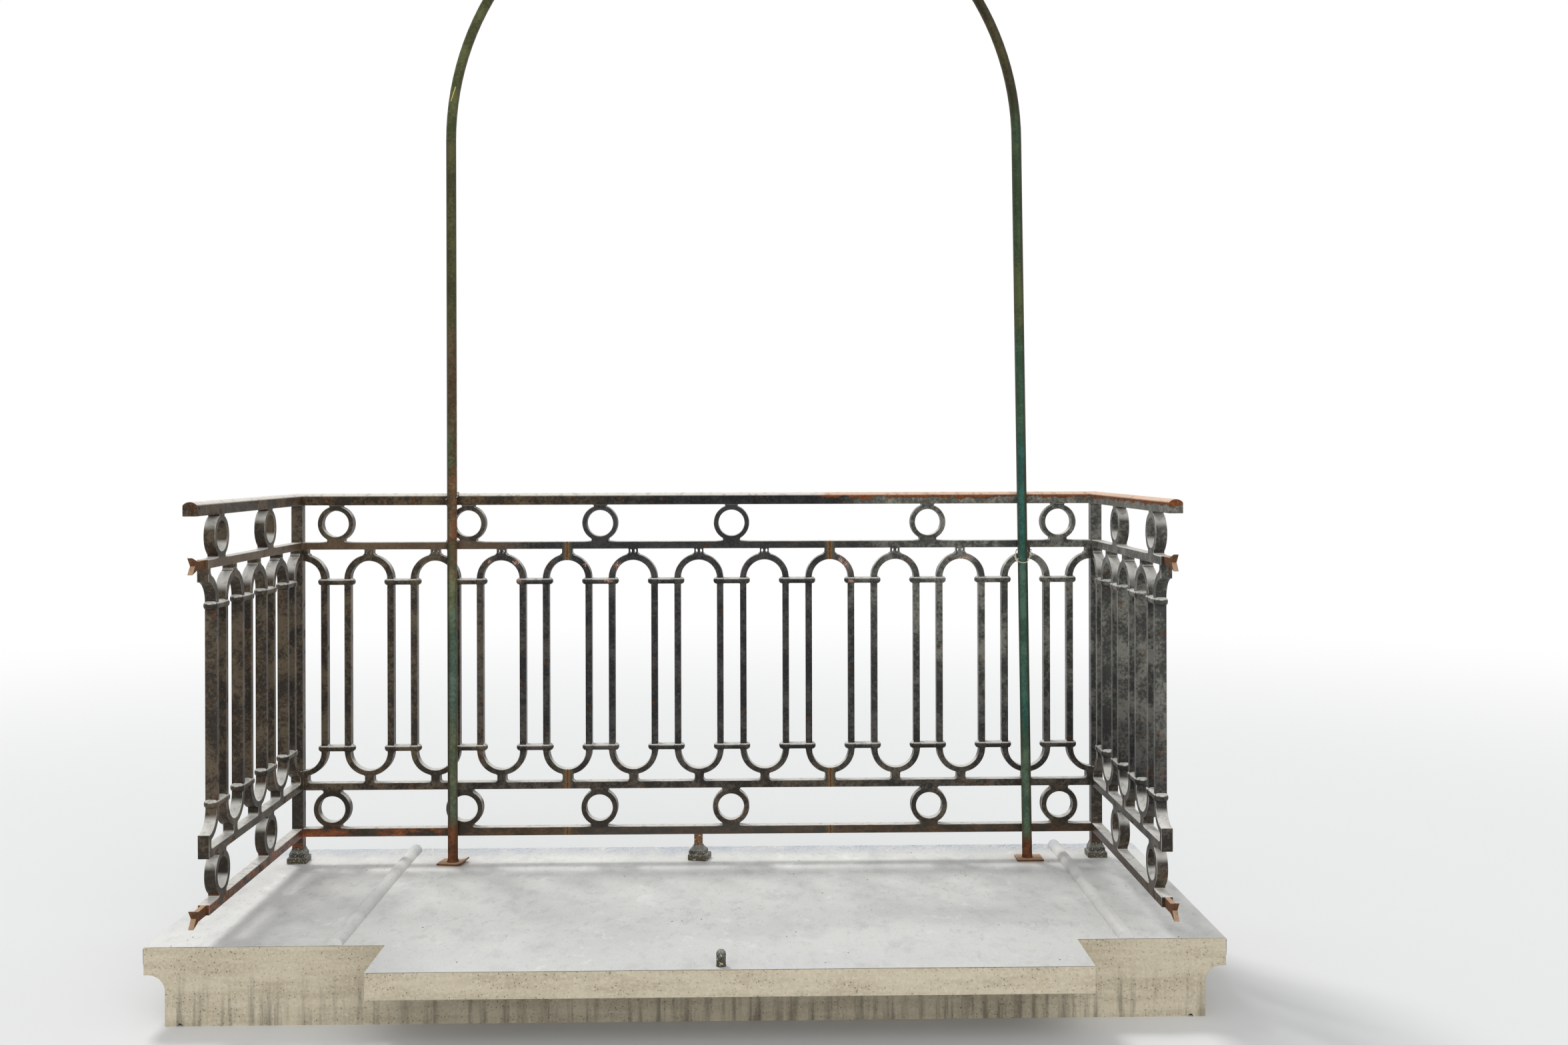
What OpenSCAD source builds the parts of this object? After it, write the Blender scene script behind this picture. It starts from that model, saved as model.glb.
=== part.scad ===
// Shallow balcony for a tall pair of doors: a moulded stone slab dressed with sheet
// metal, an old cast-iron railing of tall loops between two friezes of rings, and a
// bent pipe hoop that stands on the floor and is tied to the railing.
// X runs along the wall, Y points away from it and Z is up. The origin lies on the
// slab's rear face, which is bedded against the wall.

/* [Slab] */
// Thickness of the slab with its sheet
slab_t = 180; // [120:5:240]
// How far the slab runs out past the railing's centre line, in front and at the sides
slab_overhang = 137; // [90:1:200]
// Height of the upright band along the top of the slab's edge
slab_band_h = 62; // [40:1:90]
// Radius of the hollow moulding under the band
slab_cove_r = 38; // [20:1:50]
// How far the sill runs back into the door opening
sill_d = 188; // [100:1:300]
// Width of the sill between the door jambs
sill_w = 1575; // [1200:5:1700]
// Thickness of the sill
sill_t = 58; // [40:1:80]
// Centre of the door opening, measured from the railing's middle
door_x = 100; // [-150:5:150]

/* [Floor sheet] */
// Thickness of the floor sheet
sheet_t = 2; // [1:0.5:4]
// How far the sheet is dressed down over the slab's edge
apron_h = 40; // [20:1:60]
// Distance from the left batten roll to the axis of the hoop's left leg
left_roll_gap = 131; // [80:1:180]
// Distance from the right batten roll to the axis of the hoop's right leg, at its base
right_roll_gap = 101; // [75:1:140]
// Width of a batten roll at its foot
roll_w = 34; // [24:1:60]
// Height of a batten roll
roll_h = 17; // [10:1:30]
// Gap between a roll's rounded end and the outer edge of the slab
roll_end_gap = 8; // [3:1:60]
// Diameter of the shutter stop
stop_d = 22; // [14:1:30]
// Height of the shutter stop
stop_h = 36; // [20:1:50]

/* [Railing] */
// Height of the handrail's top above the floor
railing_h = 1007; // [800:1:1250]
// Distance from one loop to the next
loop_pitch = 180; // [150:1:220]
// Loops in one cast panel
panel_loops = 4; // [2:1:6]
// Distance between the two bars of one loop
loop_bars = 116.5; // [96:0.5:140]
// Width of a loop's bar
bar_w = 17.5; // [14:0.5:22]
// How much thinner the round bend at a loop's foot is than its bars
bend_thinning = 2.5; // [0:0.5:4]
// Thickness of the castings from front to back
casting_d = 27; // [22:0.5:33]
// Gap between the floor and the bottom rail
foot_h = 70; // [50:1:100]
// Height of the bottom rail
bottom_rail_h = 23; // [16:1:30]
// Height of the two rails inside the panel
rail_h = 20; // [14:1:28]
// Height of the frieze of rings under the loops
lower_frieze_h = 104; // [86:1:130]
// Height of the frieze of rings above the loops
upper_frieze_h = 101; // [84:1:130]
// Bore of a ring
ring_bore = 71; // [56:1:76]
// How far the lower rings stand aside in the left, the centre and the right front panel
lower_ring_slip = [-11.5, -3, 1.5]; // [-20:0.5:20]
// Height of the neck under a loop
lower_neck_h = 18.5; // [12:0.5:24]
// Height of the neck over a loop
upper_neck_h = 13.5; // [10:0.5:20]
// Height of a tie across two bars
tie_h = 16.5; // [12:0.5:20]
// Diameter of the collar with which a tie wraps each bar
collar_d = 20.5; // [16:0.5:24]
// How far a collar's pointed end stands out beyond the bar
knob_l = 9.5; // [7:0.5:13]

/* [Handrail and posts] */
// Height of the handrail
handrail_h = 32; // [24:1:40]
// Width of the handrail
handrail_w = 32; // [28:1:50]
// Rise of the handrail's rounded top
handrail_crown = 7.5; // [4:0.5:12]
// How much wider a corner post is than the castings that butt against it
post_margin = 3; // [0:0.5:10]
// Length of the iron tails that are set in the wall
tail_l = 80; // [50:5:150]

/* [Feet] */
// Side of a foot's plinth
plinth_w = 53; // [44:1:70]
// Height of a foot's plinth
plinth_h = 16; // [10:1:22]
// Side of a foot's bell at its base
bell_w = 44; // [36:1:52]
// Height of a foot's bell
bell_h = 23.5; // [18:0.5:30]
// Diameter of the centre foot's stem
stem_d = 24; // [18:1:30]
// Turn of the centre foot
foot_turn = -15; // [-30:1:30]

/* [Pipe hoop] */
// Outer diameter of the pipe
pipe_d = 27; // [20:0.5:34]
// Wall of the pipe
pipe_wall = 2.5; // [1.5:0.5:4]
// Gap between the wire round the left leg and the foot of the ring beside it
leg_ring_gap = 0.2; // [0.2:0.1:10]
// How far the right leg's base stands in from the middle of the last whole loop
leg_loop_shift = 1; // [-10:0.5:20]
// Height of the bend's centre above the floor
hoop_spring_h = 1968; // [1500:1:2400]
// How far the right leg's base stands out from the bend's end
leg_lean = 25; // [0:1:60]
// Width of a base plate
base_plate_w = 72; // [50:1:100]
// Depth of a base plate
base_plate_d = 58; // [44:1:80]
// Thickness of a base plate
base_plate_t = 5; // [3:0.5:8]

/* [Ties] */
// Diameter of the binding wire
wire_d = 2.4; // [1.5:0.1:4]
// Diameter of the string
string_d = 3; // [2:0.5:6]
// How far the string hangs down in front of the leg
string_drop = 34; // [20:1:60]

/* [Hidden] */
$fn = 64;
lap = 1;
panel_w = loop_pitch * panel_loops;
post_w = casting_d + post_margin;
rail_line_y = panel_w + post_w / 2;
side_line_x = 1.5 * panel_w + post_w / 2;
slab_d = rail_line_y + slab_overhang;
slab_w = 2 * (side_line_x + slab_overhang);
floor_z = slab_t / 2;
stone_z = floor_z - sheet_t;
slab_lip = 10;
drip_w = 12;
drip_inset = 34;

bottom_rail_z = foot_h;
lower_frieze_z = bottom_rail_z + bottom_rail_h;
lower_rail_z = lower_frieze_z + lower_frieze_h;
loop_z = lower_rail_z + rail_h + lower_neck_h;
handrail_z = railing_h - handrail_h;
upper_frieze_z = handrail_z - upper_frieze_h;
upper_rail_z = upper_frieze_z - rail_h;
crown_z = upper_rail_z - upper_neck_h;
loop_r = (loop_bars + bar_w) / 2;
arch_z = crown_z - loop_r;
bend_z = loop_z + loop_r;
eye_r = upper_neck_h / 2 + 0.4;
eye_lap = 1.5;
neck_half_w = 2 * eye_r - eye_lap;
seam_neck_w = 28;
lower_neck_w = 25;
lower_neck_spread = 4.5;
lower_neck_flare_h = 5;
ring_pad = 1.8;
ring_foot_w = 46;
ring_cap_w = 30;
ring_foot_spread = 6;
tie_drop = 8;
tie_proud = 3;
knob_tip_d = 6;

seat_gap = 0.3;
tie_slack = 0.9;
rail_front = max(handrail_w / 2, casting_d / 2 + tie_proud);
hoop_y = rail_line_y - rail_front - pipe_d / 2 - seat_gap;
left_leg_ring = 2;
left_leg_ring_x = -1.5 * panel_w + (left_leg_ring + 0.5) * loop_pitch;
left_leg_reach = pipe_d / 2 + tie_slack + wire_d + leg_ring_gap;
left_leg_x = left_leg_ring_x - ring_foot_w / 2 - left_leg_reach;
right_base_x = 1.5 * panel_w - loop_pitch - leg_loop_shift;
right_leg_x = right_base_x - leg_lean;
hoop_r = (right_leg_x - left_leg_x) / 2;
hoop_x = (right_leg_x + left_leg_x) / 2;
left_plate_turn = -10.5;
right_plate_shift = 5;
left_roll_x = left_leg_x - left_roll_gap;
right_roll_x = right_base_x + right_roll_gap;
sill_left_x = door_x - sill_w / 2;
sill_right_x = door_x + sill_w / 2;
stop_aside = 23;
stop_inset = 23;
stop_x = door_x - stop_aside;
stop_y = -sill_d + stop_inset;

STONE = [0.72, 0.69, 0.62];
SHEET = [0.74, 0.75, 0.75];
IRON = [0.15, 0.15, 0.15];
RUSTY_IRON = [0.28, 0.20, 0.15];
GREEN_PIPE = [0.22, 0.34, 0.30];
RUSTY_PLATE = [0.45, 0.34, 0.25];
WIRE = [0.70, 0.70, 0.68];
STRING = [0.80, 0.75, 0.62];

// Edge of the slab in section: an upright band, a lip, a hollow and a plain lower
// band with a drip groove under it. The wall side is at zero and the edge at run.
module slab_section(run) {
    lower = run - slab_lip - slab_cove_r;
    depth = slab_t - sheet_t;
    difference() {
        union() {
            translate([0, -slab_band_h])
                square([run, slab_band_h]);
            translate([0, -slab_band_h - slab_cove_r])
                square([run - slab_lip, slab_cove_r]);
            translate([0, -depth])
                square([lower, depth]);
        }
        translate([run - slab_lip, -slab_band_h - slab_cove_r])
            circle(r = slab_cove_r);
        translate([lower - drip_inset, -depth])
            circle(d = drip_w);
    }
}

// The sill is the slab's tail in the door opening, thinner than the slab, so the
// bearing face below it stays plain.
module slab() {
    stone_d = slab_d - sheet_t;
    stone_half_w = slab_w / 2 - sheet_t;
    color(STONE)
    union() {
        intersection() {
            translate([-slab_w / 2, 0, stone_z])
                rotate([90, 0, 90])
                    linear_extrude(slab_w)
                        slab_section(stone_d);
            translate([0, slab_d, stone_z])
                rotate([90, 0, 0])
                    linear_extrude(slab_d)
                        union() {
                            slab_section(stone_half_w);
                            mirror([1, 0]) slab_section(stone_half_w);
                        }
        }
        translate([sill_left_x, -sill_d, stone_z - sill_t])
            cube([sill_w, sill_d + lap, sill_t]);
    }
}

// One floor sheet between two lines along the wall, dressed down over the front
// edge, and over the end where it reaches one.
module floor_sheet(x_from, x_to) {
    color(SHEET)
    union() {
        translate([x_from, 0, stone_z])
            cube([x_to - x_from, slab_d, sheet_t]);
        translate([x_from, slab_d - sheet_t, floor_z - apron_h])
            cube([x_to - x_from, sheet_t, apron_h]);
        if (x_from <= -slab_w / 2)
            translate([x_from, 0, floor_z - apron_h])
                cube([sheet_t, slab_d, apron_h]);
        if (x_to >= slab_w / 2)
            translate([x_to - sheet_t, 0, floor_z - apron_h])
                cube([sheet_t, slab_d, apron_h]);
    }
}

module floor_sheet_left() {
    floor_sheet(-slab_w / 2, left_roll_x);
}

// The centre sheet also covers the sill, and joins it over the width that they share.
module floor_sheet_centre() {
    shared_from = max(sill_left_x, left_roll_x);
    shared_to = min(sill_right_x, right_roll_x);
    color(SHEET)
    union() {
        floor_sheet(left_roll_x, right_roll_x);
        translate([sill_left_x, -sill_d, stone_z])
            cube([sill_w, sill_d, sheet_t]);
        translate([shared_from, -lap, stone_z])
            cube([shared_to - shared_from, 2 * lap, sheet_t]);
    }
}

module floor_sheet_right() {
    floor_sheet(right_roll_x, slab_w / 2);
}

// Round-topped roll over the joint of two sheets, with a rounded outer end.
module batten_roll(x) {
    straight = slab_d - roll_end_gap - roll_w / 2;
    color(SHEET)
    translate([x, 0, floor_z])
        intersection() {
            union() {
                rotate([90, 0, 180])
                    linear_extrude(straight)
                        batten_section();
                translate([0, straight, 0])
                    rotate_extrude()
                        intersection() {
                            batten_section();
                            square([roll_w, roll_h]);
                        }
            }
            translate([-roll_w, 0, 0])
                cube([2 * roll_w, slab_d, roll_h]);
        }
}

module batten_section() {
    crown_r = (pow(roll_w / 2, 2) + pow(roll_h / 2, 2)) / roll_h;
    intersection() {
        translate([0, roll_h - crown_r])
            circle(r = crown_r);
        translate([-roll_w / 2, 0])
            square([roll_w, roll_h]);
    }
}

// Short round-topped stub that a closing shutter strikes.
module shutter_stop() {
    color(IRON)
    translate([stop_x, stop_y, floor_z])
        rotate_extrude()
            intersection() {
                union() {
                    square([stop_d / 2, stop_h - stop_d / 3]);
                    translate([0, stop_h - stop_d / 2])
                        circle(d = stop_d);
                }
                square([stop_d, stop_h]);
            }
}

// One tall loop with a round arch and a round bend, seen from the front. Its inside
// reaches a little lower, so the bend is thinner at the foot than the bars.
module loop_shape(reach, foot_z) {
    translate([0, arch_z])
        circle(r = reach);
    translate([0, foot_z])
        circle(r = reach);
    translate([-reach, foot_z])
        square([2 * reach, arch_z - foot_z]);
}

module loop_outline() {
    difference() {
        loop_shape(loop_r, bend_z);
        loop_shape(loop_r - bar_w, bend_z - bend_thinning);
    }
}

// The upper neck is a pair of small rings side by side, or a plain block at a seam,
// and the lower one is a block that spreads onto its rail.
module necks_outline(at_seam) {
    bite = 3;
    if (at_seam)
        translate([-seam_neck_w / 2, crown_z - bite])
            square([seam_neck_w, upper_neck_h + 2 * bite]);
    else
        for (side = [-1, 1])
            translate([side * (eye_r - eye_lap), crown_z + upper_neck_h / 2 - 0.1])
                difference() {
                    circle(r = eye_r);
                    circle(r = eye_r / 2);
                }
    neck_z = loop_z - lower_neck_h;
    half_w = (at_seam ? seam_neck_w : lower_neck_w) / 2;
    foot_half_w = half_w + lower_neck_spread;
    polygon([
        [-foot_half_w, neck_z - bite],
        [foot_half_w, neck_z - bite],
        [foot_half_w, neck_z],
        [half_w, neck_z + lower_neck_flare_h],
        [half_w, loop_z + bite],
        [-half_w, loop_z + bite],
        [-half_w, neck_z + lower_neck_flare_h],
        [-foot_half_w, neck_z]
    ]);
}

// A ring in a frieze of the given height, with spread pads where it meets the rails.
module ring_outline(frieze_z, frieze_h, top_pad_w) {
    ring_r = frieze_h / 2 - ring_pad;
    half_w = ring_foot_w / 2;
    spread = ring_foot_spread;
    translate([0, frieze_z + frieze_h / 2]) {
        difference() {
            union() {
                circle(r = ring_r);
                intersection() {
                    square([top_pad_w, frieze_h], center = true);
                    translate([-frieze_h / 2, 0])
                        square([frieze_h, frieze_h / 2]);
                }
                polygon([
                    [-half_w, -frieze_h / 2],
                    [half_w, -frieze_h / 2],
                    [half_w - spread, -frieze_h / 2 + spread],
                    [-half_w + spread, -frieze_h / 2 + spread]
                ]);
            }
            circle(d = ring_bore);
        }
    }
}

// A tie across the two bars between neighbouring loops. It wraps each bar with a
// collar, which runs out beyond the bar to a blunt point.
module tie(z) {
    half_span = (loop_pitch - loop_bars + bar_w) / 2;
    translate([0, 0, z]) {
        rotate([90, 0, 90])
            linear_extrude(2 * half_span, center = true)
                union() {
                    square([casting_d + 2 * tie_proud - tie_h, tie_h], center = true);
                    for (side = [-1, 1])
                        translate([side * ((casting_d - tie_h) / 2 + tie_proud), 0])
                            circle(d = tie_h);
                }
        for (side = [-1, 1])
            rotate([0, side * 90, 0])
                rotate_extrude()
                    polygon([
                        [0, half_span - bar_w],
                        [collar_d / 2, half_span - bar_w],
                        [collar_d / 2, half_span],
                        [knob_tip_d / 2, half_span + knob_l],
                        [0, half_span + knob_l]
                    ]);
    }
}

// One cast panel from seam to seam. Both ends are cut through the middle of a loop.
// The rings stand over every second gap, from the first one or the second. The lower
// ones were set by hand, and stand a little aside of the upper ones.
module panel(first_ring, slip = 0) {
    color(IRON)
    union() {
        rotate([90, 0, 0])
            linear_extrude(casting_d, center = true)
                intersection() {
                    union() {
                        translate([0, bottom_rail_z])
                            square([panel_w, bottom_rail_h]);
                        translate([0, lower_rail_z])
                            square([panel_w, rail_h]);
                        translate([0, upper_rail_z])
                            square([panel_w, rail_h]);
                        for (i = [0:panel_loops])
                            translate([i * loop_pitch, 0]) {
                                loop_outline();
                                necks_outline(i == 0 || i == panel_loops);
                            }
                        for (i = [first_ring:2:panel_loops - 1])
                            translate([(i + 0.5) * loop_pitch, 0]) {
                                ring_outline(upper_frieze_z, upper_frieze_h, ring_cap_w);
                                translate([slip, 0])
                                    ring_outline(lower_frieze_z, lower_frieze_h, ring_foot_w);
                            }
                    }
                    square([panel_w, handrail_z]);
                }
        for (i = [0:panel_loops - 1])
            translate([(i + 0.5) * loop_pitch, 0, 0]) {
                tie(arch_z - tie_drop);
                tie(bend_z + tie_drop);
            }
    }
}

module front_panel(place, first_ring) {
    translate([(place - 1.5) * panel_w, rail_line_y, floor_z])
        panel(first_ring, lower_ring_slip[place]);
}

module side_panel(side) {
    translate([side * side_line_x, 0, floor_z])
        rotate([0, 0, 90])
            panel(0);
}

// Section of the handrail: a bar with a flat underside and a low rounded top.
module handrail_section() {
    crown_r = (pow(handrail_w / 2, 2) + pow(handrail_crown, 2)) / (2 * handrail_crown);
    intersection() {
        translate([0, handrail_h - crown_r])
            circle(r = crown_r);
        translate([-handrail_w / 2, 0])
            square([handrail_w, handrail_h]);
    }
}

// The front handrail is mitred to the two side handrails over the corner posts.
module handrail_front() {
    half_w = handrail_w / 2;
    outer_x = side_line_x + half_w;
    inner_x = side_line_x - half_w;
    color(IRON)
    intersection() {
        translate([-outer_x, rail_line_y, floor_z + handrail_z])
            rotate([90, 0, 90])
                linear_extrude(2 * outer_x)
                    handrail_section();
        translate([0, 0, floor_z + handrail_z - 1])
            linear_extrude(handrail_h + 2)
                polygon([
                    [-outer_x, rail_line_y + half_w],
                    [-inner_x, rail_line_y - half_w],
                    [inner_x, rail_line_y - half_w],
                    [outer_x, rail_line_y + half_w]
                ]);
    }
}

// A side handrail runs from the mitre through the wall face into its pocket.
module handrail_side(side) {
    half_w = handrail_w / 2;
    outer_x = side * (side_line_x + half_w);
    inner_x = side * (side_line_x - half_w);
    color(IRON)
    intersection() {
        translate([side * side_line_x, -tail_l, floor_z + handrail_z])
            rotate([90, 0, 180])
                linear_extrude(tail_l + rail_line_y + half_w)
                    handrail_section();
        translate([0, 0, floor_z + handrail_z - 1])
            linear_extrude(handrail_h + 2)
                polygon([
                    [outer_x, rail_line_y + half_w],
                    [inner_x, rail_line_y - half_w],
                    [inner_x, -tail_l],
                    [outer_x, -tail_l]
                ]);
    }
}

module corner_post(side) {
    color(IRON)
    translate([side * side_line_x - post_w / 2, rail_line_y - post_w / 2,
               floor_z + plinth_h + bell_h])
        cube([post_w, post_w, handrail_z - plinth_h - bell_h]);
}

// Square pedestal: a plinth, then a bell with an upright base and a rounded shoulder.
module pedestal() {
    neck_w = post_w + 1.6;
    base_h = bell_h * 0.36;
    translate([-plinth_w / 2, -plinth_w / 2, 0])
        cube([plinth_w, plinth_w, plinth_h]);
    intersection() {
        rotate([90, 0, 0])
            linear_extrude(plinth_w, center = true)
                bell_section(neck_w, base_h);
        rotate([90, 0, 90])
            linear_extrude(plinth_w, center = true)
                bell_section(neck_w, base_h);
    }
}

module bell_section(neck_w, base_h) {
    top = plinth_h + bell_h;
    polygon([
        [-bell_w / 2, plinth_h - 1],
        [bell_w / 2, plinth_h - 1],
        [bell_w / 2, plinth_h + base_h],
        [(bell_w + neck_w) / 4 + 1, top - base_h * 0.8],
        [neck_w / 2, top],
        [-neck_w / 2, top],
        [-(bell_w + neck_w) / 4 - 1, top - base_h * 0.8],
        [-bell_w / 2, plinth_h + base_h]
    ]);
}

module foot_centre() {
    color(RUSTY_IRON)
    translate([0, rail_line_y, floor_z])
        union() {
            rotate([0, 0, foot_turn])
                pedestal();
            translate([0, 0, plinth_h])
                cylinder(d = stem_d, h = foot_h - plinth_h);
        }
}

module foot_corner(side) {
    color(RUSTY_IRON)
    translate([side * side_line_x, rail_line_y, floor_z])
        pedestal();
}

// Iron tail set in the wall behind a rail's end, spread like a fish tail.
module wall_lug(side, z, h) {
    lug_t = 12;
    spread = 9;
    color(RUSTY_IRON)
    translate([side * side_line_x, 0, floor_z + z + h / 2])
        rotate([90, 0, 90])
            linear_extrude(lug_t, center = true)
                polygon([
                    [0, -h / 2],
                    [0, h / 2],
                    [-tail_l * 0.6, h / 2],
                    [-tail_l, h / 2 + spread],
                    [-tail_l * 0.8, 0],
                    [-tail_l, -h / 2 - spread],
                    [-tail_l * 0.6, -h / 2]
                ]);
}

// A straight leg of the hoop from its base plate to the bend, cut level at both ends.
module hoop_leg(base_x, top_x) {
    rise = hoop_spring_h - base_plate_t;
    lean = atan2(top_x - base_x, rise);
    over = 20;
    color(GREEN_PIPE)
    intersection() {
        translate([base_x, hoop_y, floor_z + base_plate_t])
            rotate([0, lean, 0])
                translate([0, 0, -over])
                    difference() {
                        cylinder(d = pipe_d, h = rise + 2 * over);
                        translate([0, 0, -1])
                            cylinder(d = pipe_d - 2 * pipe_wall, h = rise + 2 * over + 2);
                    }
        translate([base_x - 100, hoop_y - 100, floor_z + base_plate_t])
            cube([200, 200, rise]);
    }
}

module hoop_bend() {
    color(GREEN_PIPE)
    translate([hoop_x, hoop_y, floor_z + hoop_spring_h])
        rotate([90, 0, 0])
            rotate_extrude(angle = 180)
                translate([hoop_r, 0])
                    difference() {
                        circle(d = pipe_d);
                        circle(d = pipe_d - 2 * pipe_wall);
                    }
}

module base_plate(x, turn) {
    color(RUSTY_PLATE)
    translate([x, hoop_y, floor_z])
        rotate([0, 0, turn])
            translate([-base_plate_w / 2, -base_plate_d / 2, 0])
                cube([base_plate_w, base_plate_d, base_plate_t]);
}

// A round cord swept along a closed route. Each ring of points is square to the
// route, and its sides are set by the lie direction, which the route never follows.
function unit(v) = v / norm(v);
function closed_direction(route, i) =
    let (n = len(route))
    unit(route[(i + 1) % n] - route[(i + n - 1) % n]);
function cord_ring(centre, direction, lie, radius, sides) =
    let (
        across = unit(cross(direction, lie)),
        up = cross(across, direction)
    )
    [for (s = [0:sides - 1])
        centre + radius * (cos(360 * s / sides) * across + sin(360 * s / sides) * up)];

module closed_cord(route, diameter, lie) {
    sides = 8;
    n = len(route);
    points = [for (i = [0:n - 1])
        each cord_ring(route[i], closed_direction(route, i), lie, diameter / 2, sides)];
    faces = [for (i = [0:n - 1], s = [0:sides - 1], half = [0, 1])
        let (
            here = i * sides,
            next = ((i + 1) % n) * sides,
            turn = (s + 1) % sides
        )
        half == 0
            ? [here + s, next + s, next + turn]
            : [here + s, next + turn, here + turn]];
    polyhedron(points, faces, convexity = 4);
}

// Route of a tie that holds a leg against a rail: round the front of the leg, over
// the rail on one side, down behind it and back under it on the other side. It is
// measured from the leg's axis, at the height of the rail's underside.
function tie_route(thickness, bar_h, bar_front, bar_back) =
    let (
        r = pipe_d / 2 + thickness / 2 + tie_slack,
        top = bar_h + thickness / 2 + 1,
        under = -thickness / 2 - 1,
        front = bar_front - thickness / 2 - seat_gap,
        back = bar_back + thickness / 2 + 1,
        corner = thickness / 2 + 0.7,
        mid = bar_h / 2
    )
    [
        [0, -r, mid * 0.4],
        [r * 0.55, -r * 0.84, mid * 0.45],
        [r * 0.92, -r * 0.42, mid * 0.6],
        [r * 1.04, 0, mid],
        [r * 1.05, front * 0.6, bar_h * 0.85],
        [r * 1.0, front, top],
        [r * 0.8, bar_front + 6, top + 0.6],
        [r * 0.5, bar_back - 3, top + 0.4],
        [r * 0.4, bar_back + corner, bar_h + corner],
        [r * 0.25, back + 0.3, bar_h - 3],
        [0, back + 0.4, mid],
        [-r * 0.25, back + 0.3, 3],
        [-r * 0.4, bar_back + corner, -corner],
        [-r * 0.5, bar_back - 3, under - 0.4],
        [-r * 0.8, bar_front + 6, under - 0.6],
        [-r * 1.0, front, under],
        [-r * 1.05, front * 0.6, under * 0.6],
        [-r * 1.04, 0, mid * 0.1],
        [-r * 0.92, -r * 0.42, mid * 0.25],
        [-r * 0.55, -r * 0.84, mid * 0.35]
    ];

module leg_tie(leg_x, rail_z, bar_h, bar_front, bar_back, thickness) {
    translate([leg_x, hoop_y, floor_z + rail_z])
        closed_cord(tie_route(thickness, bar_h, bar_front, bar_back), thickness, [0.9, 0, -0.4]);
}

handrail_front_gap = rail_line_y - handrail_w / 2 - hoop_y;
casting_front_gap = rail_line_y - casting_d / 2 - hoop_y;

module wire_tie_upper() {
    color(WIRE)
    leg_tie(left_leg_x, handrail_z, handrail_h, handrail_front_gap,
            handrail_front_gap + handrail_w, wire_d);
}

module wire_tie_lower() {
    color(WIRE)
    leg_tie(left_leg_x, upper_rail_z, rail_h, casting_front_gap,
            casting_front_gap + casting_d, wire_d);
}

// The string goes round the front of the right leg, where it hangs lowest, back over
// the shoulder of the nearest arch, behind the arch's neck, and forward again between
// the arch and the rail on the other side. It is measured from the leg's axis, towards
// the side on which the neck lies.
function string_route(neck_dx) =
    let (
        r = pipe_d / 2 + string_d / 2 + tie_slack,
        beside = neck_half_w + string_d / 2 + tie_slack,
        right = neck_dx + beside,
        left = neck_dx - beside,
        front = casting_front_gap,
        back = casting_front_gap + casting_d,
        behind = back + string_d,
        corner = string_d / 2 + 0.5,
        high = crown_z + upper_neck_h / 2,
        low = high - string_drop
    )
    [
        [0, -r, low],
        [r * 0.5, -r * 0.87, low + string_drop * 0.1],
        [r * 0.88, -r * 0.5, low + string_drop * 0.28],
        [r * 1.12, 0, low + string_drop * 0.5],
        [(r + right) / 2 + 1, front * 0.55, low + string_drop * 0.75],
        [right, front + 1, high - 1],
        [right, (front + back) / 2, high],
        [right, back - 1, high],
        [right - 0.8, back + corner, high],
        [right - 4, behind, high],
        [neck_dx, behind, high],
        [left + 4, behind, high],
        [left + 0.8, back + corner, high],
        [left - 0.5, back - 2, high],
        [left - 6, (front + back) / 2, high],
        [min(left - 11, -r), front * 0.85, high - string_drop * 0.12],
        [-r * 1.12, front * 0.1, high - string_drop * 0.4],
        [-r * 0.93, -r * 0.45, low + string_drop * 0.3],
        [-r * 0.55, -r * 0.86, low + string_drop * 0.08]
    ];

module string_tie() {
    tie_height = crown_z + upper_neck_h / 2;
    lean_x = leg_lean * (hoop_spring_h - tie_height) / (hoop_spring_h - base_plate_t);
    leg_x = right_leg_x + lean_x;
    neck_x = round((leg_x + 1.5 * panel_w) / loop_pitch) * loop_pitch - 1.5 * panel_w;
    side = neck_x >= leg_x ? 1 : -1;
    route = [for (point = string_route(abs(neck_x - leg_x))) [side * point.x, point.y, point.z]];
    color(STRING)
    translate([leg_x, hoop_y, floor_z])
        closed_cord(route, string_d, [0, -0.5, 1]);
}

slab();
floor_sheet_left();
floor_sheet_centre();
floor_sheet_right();
batten_roll(left_roll_x);  // batten_roll_left
batten_roll(right_roll_x);  // batten_roll_right
shutter_stop();
front_panel(0, 0);  // front_panel_left
front_panel(1, 0);  // front_panel_centre
front_panel(2, 1);  // front_panel_right
side_panel(-1);  // side_panel_left
side_panel(1);  // side_panel_right
handrail_front();
handrail_side(-1);  // handrail_left
handrail_side(1);  // handrail_right
corner_post(-1);  // corner_post_left
corner_post(1);  // corner_post_right
foot_centre();
foot_corner(-1);  // foot_corner_left
foot_corner(1);  // foot_corner_right
wall_lug(-1, bottom_rail_z, bottom_rail_h);  // wall_lug_lower_left
wall_lug(-1, upper_rail_z, rail_h);  // wall_lug_upper_left
wall_lug(1, bottom_rail_z, bottom_rail_h);  // wall_lug_lower_right
wall_lug(1, upper_rail_z, rail_h);  // wall_lug_upper_right
hoop_leg(left_leg_x, left_leg_x);  // hoop_leg_left
hoop_leg(right_base_x, right_leg_x);  // hoop_leg_right
hoop_bend();
base_plate(left_leg_x, left_plate_turn);  // base_plate_left
base_plate(right_base_x + right_plate_shift, 0);  // base_plate_right
wire_tie_upper();
wire_tie_lower();
string_tie();
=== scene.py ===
import math
from functools import partial, reduce

import bmesh
import bpy
from mathutils import Matrix, Vector, geometry, noise


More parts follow.
